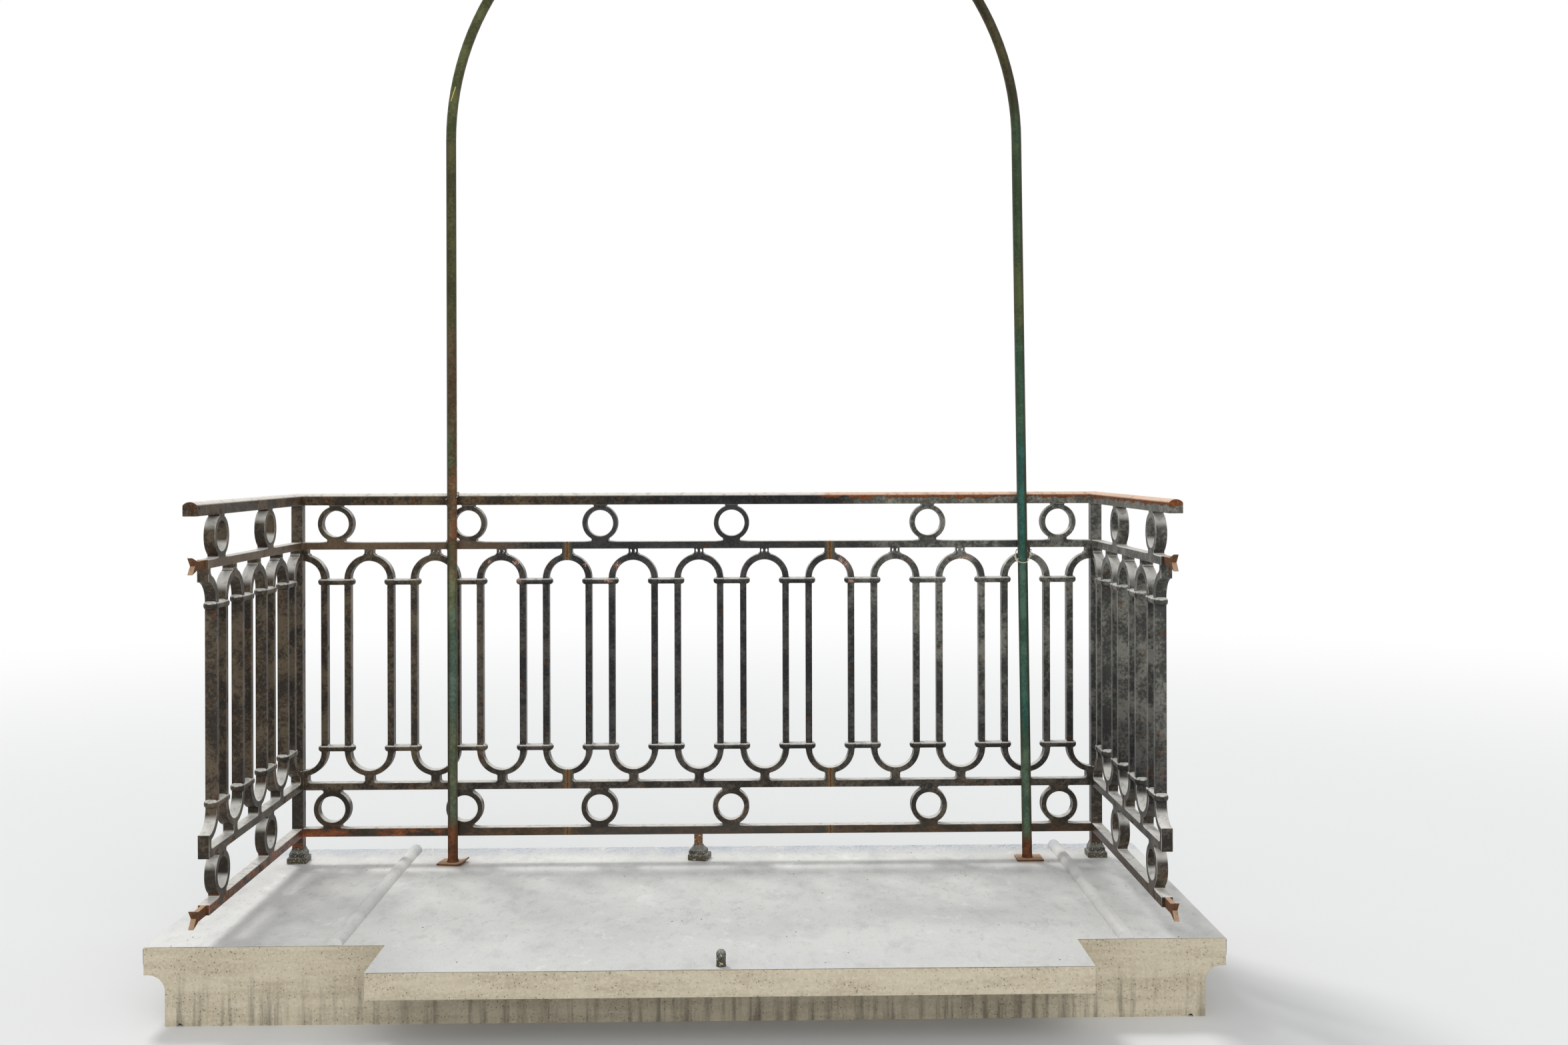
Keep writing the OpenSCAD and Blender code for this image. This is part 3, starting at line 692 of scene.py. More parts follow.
def pedestal(centre, turn, neck_half, neck_corner, lean=0.0):
    """Rings of a foot from the floor to the top of its bell."""
    steps = ((PLINTH_HALF - 0.001, 0), (PLINTH_HALF, 0.001), (PLINTH_HALF, PLINTH_H - 0.003),
             (PLINTH_HALF - 0.001, PLINTH_H - 0.001), (PLINTH_HALF - 0.003, PLINTH_H),
             (BELL_HALF, PLINTH_H + 0.0004))
    levels = [(half, height, PLINTH_CORNER) for half, height in steps]
    for share, rise in OGEE:
        half = neck_half + (BELL_HALF - neck_half) * share
        corner = neck_corner + (BELL_CORNER - neck_corner) * share
        levels.append((half, PLINTH_H + 0.001 + (BELL_TOP - PLINTH_H - 0.001) * rise, corner))
    rotation = Matrix.Rotation(turn, 3, "Z")
    return [
        [centre + rotation @ point + Vector((lean * (height > PLINTH_H), 0, height))
         for point in rounded(half, half, corner)]
        for half, height, corner in levels
    ]


foot_place = Vector((0, RAIL_Y, FLOOR_Z))
rings = pedestal(foot_place, FOOT_TURN, STEM_R + STEM_COLLAR, STEM_R, STEM_ASIDE)
rotation = Matrix.Rotation(FOOT_TURN, 3, "Z")
for stem_z in (BELL_TOP, FOOT_H):
    rings.append([foot_place + Vector((STEM_ASIDE, 0, stem_z)) + rotation @ point
                  for point in rounded(STEM_R, STEM_R, STEM_R - 0.0001)])
settle("cast_foot_centre", mesh_of(loft(rings)), dark_iron, "foot_centre", sharp=32)

for side in ("left", "right"):
    corner_place = Vector((middle_of("corner_post_" + side).x, RAIL_Y, FLOOR_Z))
    rings = pedestal(corner_place, 0.0, CORNER_NECK_HALF, CORNER_NECK_R)
    settle("cast_foot_corner_" + side, mesh_of(loft(rings)), dark_iron,
           "foot_corner_" + side, sharp=32)


# Cast panels
# Tall loops stand between two friezes of rings. Each panel was poured flat in one
# mould, so its bars are square with crisp arrises, and panels butt at rusty seams.
LOOP_PITCH = 0.180
PANEL_LOOPS = 4
PANEL_W = LOOP_PITCH * PANEL_LOOPS
LOOP_BARS = 0.1165
BAR_W = 0.0175
BEND_THINNING = 0.0025
CASTING_D = 0.027
BOTTOM_RAIL_H = 0.023
RAIL_H = 0.020
LOWER_FRIEZE_H = 0.104
UPPER_FRIEZE_H = 0.101
RING_BORE = 0.071
LOWER_NECK_H = 0.0185
UPPER_NECK_H = 0.0135
HANDRAIL_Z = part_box("handrail_front")[0].z - FLOOR_Z
LOWER_FRIEZE_Z = FOOT_H + BOTTOM_RAIL_H
LOWER_RAIL_Z = LOWER_FRIEZE_Z + LOWER_FRIEZE_H
LOOP_FOOT_Z = LOWER_RAIL_Z + RAIL_H + LOWER_NECK_H
UPPER_FRIEZE_Z = HANDRAIL_Z - UPPER_FRIEZE_H
UPPER_RAIL_Z = UPPER_FRIEZE_Z - RAIL_H
CROWN_Z = UPPER_RAIL_Z - UPPER_NECK_H
LOOP_R = (LOOP_BARS + BAR_W) / 2
ARCH_Z = CROWN_Z - LOOP_R
BEND_Z = LOOP_FOOT_Z + LOOP_R
UPPER_NECK_W = 0.0244
UPPER_FLARE = 0.0048
EYE_HALF_W = 0.0029
EYE_HALF_H = 0.0048
EYE_OFFSET = 0.0060
SEAM_NECK_W = 0.028
LOWER_NECK_W = 0.025
LOWER_FLARE = 0.0058
LOWER_RING_SLIP = (-0.0115, -0.003, 0.0015)
RING_PAD = 0.0018
RING_FILLET = 0.005
RING_CAP_HALF = 0.0195
CAP_FLARE = ((0.0023, 0.004), (0.0015, 0.0018), (0.0, -0.001))
RING_SKIRT_W = 0.088
RING_SKIRT_H = 0.0016
NECK_BITE = 0.003
ARRIS = 0.0015
TIE_H = 0.0165
TIE_PROUD = 0.003
TIE_DROP = 0.008
COLLAR_H = 0.0205
KNOB_PROFILE = ((0.0095, 0.0050, 0.0028), (0.0087, 0.0074, 0.0046), (0.00665, 0.0112, 0.0070),
                (0.0038, 0.0138, 0.0085))
SIDE_LINE_X = middle_of("corner_post_right").x
SEAM_X = PANEL_W / 2
EYE_Z = CROWN_Z + UPPER_NECK_H / 2 + 0.0008
QUARTER_TURN = Matrix.Rotation(math.radians(90), 4, "Z")


def arc(x, z, radius, first, last, steps):
    """Points along an arc in the panel's face, with its angles in degrees."""
    turns = [math.radians(first + (last - first) * i / steps) for i in range(steps + 1)]
    return [(x + radius * math.cos(turn), z + radius * math.sin(turn)) for turn in turns]


def circle(x, z, radius, steps):
    return arc(x, z, radius, 0, 360, steps)[:-1]


def oblong(x_low, z_low, x_high, z_high):
    return [(x_low, z_low), (x_high, z_low), (x_high, z_high), (x_low, z_high)]


def loop_line(x, reach, bend_z):
    """Outline of a tall loop: a round arch, two bars and a round bend."""
    return arc(x, ARCH_Z, reach, 0, 180, 28) + arc(x, bend_z, reach, 180, 360, 28)


def both_sides(right, x):
    """A whole outline from its right half."""
    return right + [(2 * x - across, z) for across, z in reversed(right)]


def waisted(x, z_low, z_high, half_w, low_flare, high_flare):
    """A block that spreads in a hollow curve where it meets the metal under and over it."""
    low = [(low_flare, -NECK_BITE), (low_flare, 0.0), (low_flare * 0.55, low_flare * 0.2)]
    low += [(low_flare * 0.22, low_flare * 0.5), (0.0, low_flare)]
    high = [(0.0, high_flare), (high_flare * 0.22, high_flare * 0.5), (high_flare, 0.0)]
    high.append((high_flare, -NECK_BITE))
    right = [(x + half_w + out, z_low + up) for out, up in low]
    right += [(x + half_w + out, z_high - down) for out, down in high]
    return both_sides(right, x)


def neck_shapes(x, at_seam):
    """The necks over and under a loop."""
    upper_w, lower_w = (SEAM_NECK_W, SEAM_NECK_W) if at_seam else (UPPER_NECK_W, LOWER_NECK_W)
    upper = waisted(x, CROWN_Z - 0.0006, UPPER_RAIL_Z, upper_w / 2, UPPER_FLARE, 0.0016)
    lower = waisted(x, LOWER_RAIL_Z + RAIL_H, LOOP_FOOT_Z + 0.001, lower_w / 2, LOWER_FLARE, 0.0022)
    return [(upper, None), (lower, None)]


def eye_holes(x):
    """The two upright eyes through an upper neck."""
    turns = [math.tau * i / 16 for i in range(16)]
    return [
        [(x + side * EYE_OFFSET + EYE_HALF_W * math.cos(turn), EYE_Z + EYE_HALF_H * math.sin(turn))
         for turn in turns]
        for side in (-1, 1)
    ]


def ring_shapes(x, frieze_z, frieze_h, under_handrail):
    """A ring between two rails. Fillets and a low skirt spread it where it was cast onto them."""
    middle = frieze_z + frieze_h / 2
    ring_r = frieze_h / 2 - RING_PAD
    bore = circle(x, middle, RING_BORE / 2, 56)
    shapes = [(circle(x, middle, ring_r, 64), bore)]
    reach = math.sqrt((ring_r + RING_FILLET) ** 2 - (frieze_h / 2 - RING_FILLET) ** 2)
    meets = math.degrees(math.atan2(frieze_h / 2 - RING_FILLET, -reach))
    for way in (1,) if under_handrail else (1, -1):
        base = middle - way * frieze_h / 2
        fillet = arc(reach, RING_FILLET, RING_FILLET, 270, meets, 7)
        right = [(x + across, base + way * rise) for across, rise in [(reach, -0.001)] + fillet]
        shapes.append((both_sides(right, x)[::way], bore))
    if under_handrail:
        top = frieze_z + frieze_h
        right = [(x + RING_CAP_HALF - CAP_FLARE[0][0], middle)]
        right += [(x + RING_CAP_HALF - out, top - down) for out, down in CAP_FLARE]
        shapes.append((both_sides(right, x), bore))
    half = RING_SKIRT_W / 2
    skirt = [(x - half, frieze_z - 0.001), (x + half, frieze_z - 0.001), (x + half, frieze_z + 0.0001),
             (x + half * 0.55, frieze_z + RING_SKIRT_H), (x - half * 0.55, frieze_z + RING_SKIRT_H),
             (x - half, frieze_z + 0.0001)]
    shapes.append((skirt, bore))
    return shapes


def panel_shapes(first_ring, slip):
    """Everything in a panel's face, as outlines with their holes."""
    rails = ((FOOT_H, BOTTOM_RAIL_H), (LOWER_RAIL_Z, RAIL_H), (UPPER_RAIL_Z, RAIL_H))
    shapes = [(oblong(0, z, PANEL_W, z + h), None) for z, h in rails]
    for i in range(PANEL_LOOPS + 1):
        x = i * LOOP_PITCH
        inner = loop_line(x, LOOP_R - BAR_W, BEND_Z - BEND_THINNING)
        shapes.append((loop_line(x, LOOP_R, BEND_Z), inner))
        shapes += neck_shapes(x, i in (0, PANEL_LOOPS))
    for i in range(first_ring, PANEL_LOOPS, 2):
        x = (i + 0.5) * LOOP_PITCH
        shapes += ring_shapes(x, UPPER_FRIEZE_Z, UPPER_FRIEZE_H, True)
        shapes += ring_shapes(x + slip, LOWER_FRIEZE_Z, LOWER_FRIEZE_H, False)
    return shapes


def union_lines(shapes, clip, openings):
    """Outlines of all shapes together inside the clip, with the metal on their left."""
    corners, faces = [], []

    def put(points):
        faces.append(list(range(len(corners), len(corners) + len(points))))
        corners.extend(Vector(point) for point in points)
        return len(faces) - 1

    clip_id = put(clip)
    pairs = [(put(outer), put(hole) if hole else None) for outer, hole in shapes]
    open_ids = {put(opening) for opening in openings}
    points, _, triangles, _, _, owners = geometry.delaunay_2d_cdt(corners, [], faces, 1, 1e-7, True)
    edges = set()
    for triangle, ids in zip(triangles, owners):
        if clip_id not in ids or open_ids & set(ids):
            continue
        if not any(outer in ids and hole not in ids for outer, hole in pairs):
            continue
        a, b, c = (points[i] for i in triangle)
        turned = triangle if (b - a).cross(c - a) > 0 else triangle[::-1]
        edges.update((turned[i], turned[(i + 1) % 3]) for i in range(3))
    follow = {a: b for a, b in sorted(edges) if (b, a) not in edges}
    lines = []
    while follow:
        start, here = next(iter(follow.items()))
        del follow[start]
        line = [points[start]]
        while here != start:
            line.append(points[here])
            here = follow.pop(here)
        lines.append(without_stubs(line))
    return lines


def bend_at(line, i):
    """The line's directions before and after its point of that number."""
    return (line[i] - line[i - 1]).normalized(), (line[(i + 1) % len(line)] - line[i]).normalized()


def without_stubs(line):
    """The line without points that nearly coincide or lie on a straight stretch."""
    apart = [point for i, point in enumerate(line) if (point - line[i - 1]).length > 0.0003]
    kept = []
    for i, point in enumerate(apart):
        before, after = bend_at(apart, i)
        if abs(before.cross(after)) > 0.004 or before.dot(after) < 0:
            kept.append(point)
    return kept


def inset(line, reach):
    """The line moved into the metal by that reach."""
    inner = []
    for i, point in enumerate(line):
        across_before, across_after = (Vector((-way.y, way.x)) for way in bend_at(line, i))
        sharpness = max(1 + across_before.dot(across_after), 0.5)
        inner.append(point + (across_before + across_after) * reach / sharpness)
    return inner


def cast_plate(lines, depth, arris):
    """A flat casting in the XZ plane. Its arrises are eased, and marked for their pale line of wear and
    painted highlight.
    """
    half = depth / 2
    eased = 0.29 * arris
    levels = ((arris, -half, 0.0), (eased, eased - half, 1.0), (0.0, arris - half, 0.0),
              (0.0, half - arris, 0.0), (eased, half - eased, 1.0), (arris, half, 0.0))
    starts = [sum(len(line) for line in lines[:i]) for i in range(len(lines))]
    rings = [list(range(start, start + len(line))) for start, line in zip(starts, lines)]
    size = sum(len(line) for line in lines)
    corners, faces, marks = [], [], []
    for reach, y, mark in levels:
        corners += [(point.x, y, point.y) for line in lines for point in inset(line, reach)]
        marks += [mark] * size
    for level in range(0, size * (len(levels) - 1), size):
        for ring in rings:
            for here, beside in zip(ring, ring[1:] + ring[:1]):
                faces.append((level + here, level + here + size, level + beside + size, level + beside))
    flat = [Vector((x, z)) for x, _, z in corners[:size]]
    _, _, triangles, origins, _, owners = geometry.delaunay_2d_cdt(flat, [], rings, 1, 1e-8, True)
    back = size * (len(levels) - 1)
    for triangle, ids in zip(triangles, owners):
        if len(set(ids)) % 2:
            own = [origins[i][0] for i in triangle]
            faces.append(tuple(own))
            faces.append(tuple(back + i for i in reversed(own)))
    mesh = bpy.data.meshes.new("casting")
    mesh.from_pydata(corners, [], faces)
    mesh.attributes.new("worn_edge", "FLOAT", "POINT").data.foreach_set("value", marks)
    return mesh


def tie_rings(x, z):
    """Rings of a tie across two bars, with a collar round each bar that ends in a blunt point."""
    half_span = (LOOP_PITCH - LOOP_BARS + BAR_W) / 2
    deep = CASTING_D / 2 + TIE_PROUD
    stations = [(half_span + out, half_d, half_h) for out, half_d, half_h in KNOB_PROFILE]
    stations += [
        (half_span + 0.0012, deep - 0.0014, COLLAR_H / 2 - 0.001),
        (half_span, deep, COLLAR_H / 2),
        (half_span - BAR_W, deep, COLLAR_H / 2),
        (half_span - BAR_W - 0.001, deep - 0.0006, COLLAR_H / 2 - 0.0006),
        (half_span - BAR_W - 0.0018, deep - 0.0012, TIE_H / 2),
    ]
    mirrored = [(-along, half_d, half_h) for along, half_d, half_h in stations]
    rings = []
    for along, half_d, half_h in mirrored + stations[::-1]:
        ring = rounded(half_d, half_h, 0.92 * half_h, 5)
        rings.append([Vector((x + along, point.x, z + point.y)) for point in ring])
    return rings


def panel_mesh(first_ring, slip):
    """A whole panel from seam to seam, with the ties fused to its bars."""
    eyes = [eye for i in range(1, PANEL_LOOPS) for eye in eye_holes(i * LOOP_PITCH)]
    lines = union_lines(panel_shapes(first_ring, slip), oblong(0, 0, PANEL_W, HANDRAIL_Z), eyes)
    face = turned_out(cast_plate(lines, CASTING_D, ARRIS))
    ties = [
        loft(tie_rings((i + 0.5) * LOOP_PITCH, z))
        for i in range(PANEL_LOOPS)
        for z in (ARCH_Z - TIE_DROP, BEND_Z + TIE_DROP)
    ]
    holder = bpy.data.objects.new("ties", turned_out(mesh_of(*ties)))
    scene.collection.objects.link(holder)
    fused = with_modifier(face, "BOOLEAN", operation="UNION", solver="MANIFOLD", object=holder)
    bpy.data.objects.remove(holder)
    return fused


# A bare patch is a cluster of flecks round one place, where the paint has come off.
bare_patch, given, result = new_group(
    "bare_patch",
    {"Place": (0.0, 0.0, 0.0), "Centre": (0.0, 0.0, 0.0), "Reach": (0.01, 0.02, 0.01)},
    {"Mask": "Float"},
)
around = vector_calc("SUBTRACT", given["Place"], given["Centre"])
away = vector_calc("LENGTH", vector_calc("DIVIDE", around, given["Reach"]))
ragged = times(grain(given["Place"], 240, 3, 0.75), 4.0)
put_out(result, Mask=ramp(plus(away, ragged), 2.6, 2.3))

# Worn edges and a painted highlight show as a thin pale line along the arris, broken here and there.
edge_wear_and_glint, given, result = new_group(
    "edge_wear_and_glint",
    {"Place": (0.0, 0.0, 0.0), "Amount": 0.5},
    {"Mask": "Float"},
)
arris_mark = add("Attribute", tree=edge_wear_and_glint, attribute_name="worn_edge").outputs["Fac"]
rubbed_and_glinting = ramp(grain(given["Place"], 34, 4, 0.6), 0.38, 0.6, 0.25, 1.0)
put_out(result, Mask=times(times(ramp(arris_mark, 0.1, 0.6), rubbed_and_glinting), given["Amount"]))

most = partial(calc, "MAXIMUM")

cast_iron, place = new_finish("cast_iron_under_old_paint", 0.22)
axes = axes_of(place)
rise = minus(axes["Z"], FLOOR_Z)
black = old_paint(place, (24, 24, 25), (65, 63, 61))
brownish = old_paint(place, (43, 36, 27), (94, 81, 63))
greyish = old_paint(place, (56, 57, 53), (124, 122, 113))
drift = grain(place, 4, 3)
shifted = plus(axes["X"], times(drift, 0.5))
to_left = ramp(shifted, -0.12, -0.5, 0.0, 0.9)
to_right = times(ramp(shifted, 0.55, 0.95, 0.0, 0.9), ramp(rise, 0.3, 0.6, 0.1, 1.0))
to_foot = ramp(plus(rise, times(drift, 0.3)), 0.55, 0.25, 0.0, 0.75)
to_middle = times(ramp(shifted, -0.1, 0.05), ramp(shifted, 0.75, 0.6))
scattered = use(rust, Place=place, Scale=26.0, Cover=0.24)
low_rails = ramp(rise, 0.108, 0.09)
low_rust = use(rust, Place=stretched(place, 0.6, 1, 1.4), Scale=34.0, Cover=0.55)
rail_tone = over(ramp(low_rust["Height"], 0.66, 0.92), (52, 45, 35), (80, 66, 49))
low_frieze = times(ramp(rise, LOWER_RAIL_Z, LOWER_RAIL_Z - 0.004),
                   ramp(rise, LOWER_FRIEZE_Z - 0.004, LOWER_FRIEZE_Z))
upper_rail = times(ramp(rise, UPPER_RAIL_Z - 0.004, UPPER_RAIL_Z),
                   ramp(rise, UPPER_FRIEZE_Z + 0.004, UPPER_FRIEZE_Z))
fresh_spots = times(low_rust["Mask"], most(ramp(shifted, -0.40, -0.50), 0.1))
orange = over(ramp(low_rust["Height"], 0.72, 0.95), (98, 58, 34), (146, 84, 48))
colour = layered(
    over(most(to_left, to_foot), black["Colour"], brownish["Colour"]),
    (to_right, greyish["Colour"]),
    (times(to_middle, ramp(rise, 0.8, 0.86, 0.0, 0.45)), (34, 35, 37)),
    (times(scattered["Mask"], 0.5), scattered["Colour"]),
    (times(low_rails, ramp(drift, 0.35, 0.55, 0.5, 0.9)), rail_tone),
    (times(times(low_rails, to_middle), 0.5), (70, 69, 66)),
    (times(low_frieze, ramp(axes["X"], 0.0, -0.15, 0.0, 0.6)), (38, 33, 28)),
    (times(upper_rail, ramp(axes["X"], -0.46, -0.56, 0.0, 0.5)), (108, 86, 62)),
    (times(low_rails, fresh_spots), orange),
)

# The seams between panels weep rust: a dark crack in an orange band with a greenish halo.
from_seam = absolute(minus(absolute(axes["X"]), SEAM_X))
weeping = plus(from_seam, times(minus(grain(place, 110, 4, 0.7), 0.5), 0.016))
streak = ramp(grain(place, 380, 3, 0.7), 0.42, 0.6)
colour = layered(
    colour,
    (ramp(weeping, 0.017, 0.006, 0.0, 0.6), (90, 84, 62)),
    (ramp(weeping, 0.0075, 0.0035, 0.0, 0.85), (122, 92, 60)),
    (ramp(weeping, 0.0052, 0.0022), over(streak, (74, 50, 30), (134, 90, 48))),
    (ramp(from_seam, 0.0007, 0.0002, 0.0, 0.5), (48, 26, 12)),
)

# Paint has come off in flecks, on arches' shoulders and on the ends of ties. Each patch
# is (across, up, reach across, reach up).
PATCHES = (
    (0.390, 0.820, 0.014, 0.012),
    (0.404, 0.808, 0.014, 0.014),
    (0.732, 0.8255, 0.034, 0.0055),
    (-0.5005, 0.8173, 0.015, 0.012),
    (-0.5714, 0.8194, 0.010, 0.008),
    (-0.3058, 0.8147, 0.014, 0.013),
    (-0.2230, 0.8090, 0.016, 0.014),
    (-0.4969, 0.7680, 0.021, 0.011),
    (-0.2476, 0.7670, 0.015, 0.008),
    (0.4179, 0.7643, 0.014, 0.008),
)
PATCH_DEPTH = 0.018
RIM_LIGHT_FROM = (-0.35, -0.2, 0.9)
bare = reduce(most, [
    use(bare_patch, Place=place, Centre=(x, RAIL_Y - CASTING_D / 2, FLOOR_Z + z),
        Reach=(reach_x, PATCH_DEPTH, reach_z))["Mask"]
    for x, z, reach_x, reach_z in PATCHES
])
raw = over(ramp(grain(place, 320, 3, 0.7), 0.4, 0.58), (132, 84, 66), (208, 170, 152))
# The pale line on the arrises is worn paint and a painted highlight, strongest where a painted rim light
# falls, on edges that face up and to the left.
worn = reduce(times, [
    use(edge_wear_and_glint, Place=place, Amount=1.0)["Mask"],
    ramp(from_seam, 0.002, 0.004),
    ramp(vector_calc("DOT_PRODUCT", normal_at(place), RIM_LIGHT_FROM), -0.2, 0.5, 0.3, 1.0),
    ramp(absolute(minus(rise, EYE_Z)), EYE_HALF_H + 0.0005, EYE_HALF_H + 0.0015),
])
# Pale dust with a painted highlight lies on the upward faces: tops of rails, ties and bends.
dust_and_sheen_share = use(dust_and_sheen, Place=place, Amount=1.0)["Mask"]
colour = layered(colour, (times(bare, 0.9), raw), (worn, (198, 195, 188)), (dust_and_sheen_share, (213, 210, 202)))
skin = reduce(plus, [black["Height"], times(scattered["Height"], 0.6), times(bare, -0.5)])
dull = reduce(most, [bare, scattered["Mask"], dust_and_sheen_share])
finish_with(colour, ramp(dull, 0, 1, 0.4, 0.8), skin, 0.0009)

for index, (side, first_ring) in enumerate((("left", 0), ("centre", 0), ("right", 1))):
    mesh = panel_mesh(first_ring, LOWER_RING_SLIP[index])
    mesh.transform(Matrix.Translation(((index - 1.5) * PANEL_W, RAIL_Y, FLOOR_Z)))
    settle("cast_front_panel_" + side, mesh, cast_iron, "front_panel_" + side)
for side, way in (("left", -1), ("right", 1)):
    mesh = panel_mesh(0, 0.0)
    mesh.transform(Matrix.Translation((way * SIDE_LINE_X, 0, FLOOR_Z)) @ QUARTER_TURN)
    settle("cast_side_panel_" + side, mesh, cast_iron, "side_panel_" + side)


# Corner posts
# Square iron bars stand on the corner feet. The castings butt against them, and the
# handrail's mitre lies on top.
POST_CORNER = 0.0016

for side in ("left", "right"):
    low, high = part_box("corner_post_" + side)
    middle = (low + high) / 2
    half = (high.x - low.x) / 2
    rings = []
    for share, shrink in ((0.0, 0.001), (0.0012, 0), (0.9988, 0), (1.0, 0.001)):
        z = low.z + (high.z - low.z) * share
        rings.append([Vector((middle.x + point.x, middle.y + point.y, z))
                      for point in rounded(half - shrink, half - shrink, POST_CORNER, 2)])
    settle("square_post_" + side, mesh_of(loft(rings)), cast_iron, "corner_post_" + side)


# Handrail
# A wrought bar with a flat underside and a low rounded top lies on the rings, mitred at
# the corners. Pale dust and a painted highlight lie on its top, and rust creeps down from
# its shoulder.
low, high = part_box("handrail_front")
RAIL_HALF = (high.y - low.y) / 2
RAIL_CROWN = 0.0075
RAIL_EASE = 0.0014
RAIL_TOP = high.z
RAIL_BASE = low.z
TAIL_L = -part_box("handrail_left")[0].y
RUST_FROM_X = 0.335


def handrail_section():
    """Outline across the handrail: distance from its middle, and height over its underside."""
    shoulder = RAIL_TOP - RAIL_BASE - RAIL_CROWN
    crown_r = (RAIL_HALF**2 + RAIL_CROWN**2) / (2 * RAIL_CROWN)
    centre = shoulder + RAIL_CROWN - crown_r
    spread = math.degrees(math.asin(RAIL_HALF / crown_r))
    crown = arc(0, centre, crown_r, 90 - spread * 0.93, 90 + spread * 0.93, 14)
    right = [(RAIL_HALF - RAIL_EASE, 0.0), (RAIL_HALF - RAIL_EASE * 0.3, RAIL_EASE * 0.3),
             (RAIL_HALF, RAIL_EASE), (RAIL_HALF, shoulder - RAIL_EASE * 0.7)]
    return right + crown + [(-x, z) for x, z in reversed(right)]


def handrail_rings(stations, place_of):
    """Rings along a handrail, where place_of turns a station and a section point into a place."""
    return [[place_of(station, across, height) for across, height in handrail_section()]
            for station in stations]


def front_place(station, across, height):
    """The front rail runs along X, and its ends follow the mitres."""
    reach = SIDE_LINE_X + across
    return Vector((max(-reach, min(reach, station * reach)), RAIL_Y + across, RAIL_BASE + height))


def side_place(way):
    """The side rails run along Y, from their pockets in the wall to the mitres."""
    def place(station, across, height):
        y = -TAIL_L + (RAIL_Y + across + TAIL_L) * station
        return Vector((way * (SIDE_LINE_X + across), y, RAIL_BASE + height))
    return place


handrail_iron, place = new_finish("handrail_paint_and_rust", 0.14)
axes = axes_of(place)
black = old_paint(place, (19, 19, 21), (46, 46, 46))
brownish = old_paint(place, (48, 40, 30), (98, 80, 56))
greenish = old_paint(place, (82, 82, 74), (142, 138, 127))
shifted = plus(axes["X"], times(grain(place, 5, 4), 0.5))
spots = use(rust, Place=place, Scale=32.0, Cover=0.3)
spot_share = times(spots["Mask"], ramp(shifted, 0.3, -0.2, 0.25, 0.8))
band_edge = times(grain(stretched(place, 1, 0.5, 0.5), 26, 5, 0.7), 0.040)
band_depth = minus(plus(minus(RAIL_TOP, axes["Z"]), 0.0055), band_edge)
right_part = ramp(axes["X"], RUST_FROM_X - 0.02, RUST_FROM_X + 0.03)
band = times(ramp(band_depth, 0.0015, -0.0005), right_part)
fresh = use(rust, Place=place, Scale=60.0, Cover=0.5)
band_tone = over(ramp(fresh["Height"], 0.6, 0.9), (84, 48, 28), (156, 90, 50))
dust_and_sheen_share = use(dust_and_sheen, Place=place, Amount=0.95)["Mask"]
colour = layered(
    black["Colour"],
    (ramp(shifted, 0.26, -0.35, 0, 0.9), brownish["Colour"]),
    (ramp(shifted, 0.56, 0.75, 0, 0.9), greenish["Colour"]),
    (spot_share, spots["Colour"]),
    (band, over(times(fresh["Mask"], 0.5), band_tone, fresh["Colour"])),
    # Its top takes pale dust and a painted highlight, peach where the rust band runs.
    (dust_and_sheen_share, over(right_part, (232, 226, 216), (228, 198, 174))),
)
skin = plus(black["Height"], times(band, 0.9))
dull = reduce(most, [band, spot_share, dust_and_sheen_share])
finish_with(colour, ramp(dull, 0, 1, 0.4, 0.8), skin, 0.001)

front_stations = spaced(-1.0, 1.0, 0.05)
settle("wrought_handrail_front", mesh_of(loft(handrail_rings(front_stations, front_place))),
       handrail_iron, "handrail_front")
for side, way in (("left", -1), ("right", 1)):
    rings = handrail_rings(spaced(0.0, 1.0, 0.1), side_place(way))
    settle("wrought_handrail_" + side, mesh_of(loft(rings)), handrail_iron,
           "handrail_" + side)


# Wall lugs
# Flat iron tails, split like a fish's, were leaded into the wall behind the side rails'
# ends. They are bare, rusted iron.
LUG_ARRIS = 0.0012

rusty_iron, place = new_finish("rusted_iron", 0.25)
scales = use(rust, Place=place, Scale=45.0, Cover=0.7)
mottle = grain(place, 90, 5, 0.65)
colour = layered(
    over(ramp(mottle, 0.35, 0.65), (88, 58, 38), (134, 92, 62)),
    (times(scales["Mask"], 0.6), scales["Colour"]),
    # Pale dust and a painted sunlit highlight on the upward faces.
    (use(dust_and_sheen, Place=place, Amount=0.8)["Mask"], (192, 160, 130)),
)
finish_with(colour, ramp(mottle, 0.3, 0.7, 0.75, 0.95), scales["Height"], 0.0012)

for side in ("left", "right"):
    for level, rail_h in (("lower", BOTTOM_RAIL_H), ("upper", RAIL_H)):
        name = f"wall_lug_{level}_{side}"
        low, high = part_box(name)
        middle = (low + high) / 2
        half = rail_h / 2
        tail = -low.y
        spread = (high.z - low.z) / 2
        outline = [(-tail * 0.6, -half), (0, -half), (0, half), (-tail * 0.6, half), (-tail, spread),
                   (-tail * 0.8, 0), (-tail, -spread)]
        mesh = cast_plate([[Vector(point) for point in outline]], high.x - low.x, LUG_ARRIS)
        mesh.transform(Matrix.Translation((middle.x, 0, middle.z)) @ QUARTER_TURN)
        settle("split_" + name, mesh, rusty_iron, name)


# Base plates
# The hoop's legs stand on thin plates of rusted iron that lie loose on the sheet. The
# left one has turned, and its outer end is bent up.
PLATE_W = 0.072
PLATE_D = 0.058
PLATE_T = 0.005
LEFT_PLATE_TURN = math.radians(-10.5)
TIP_UP = 0.007
PLATE_EASE = 0.0012


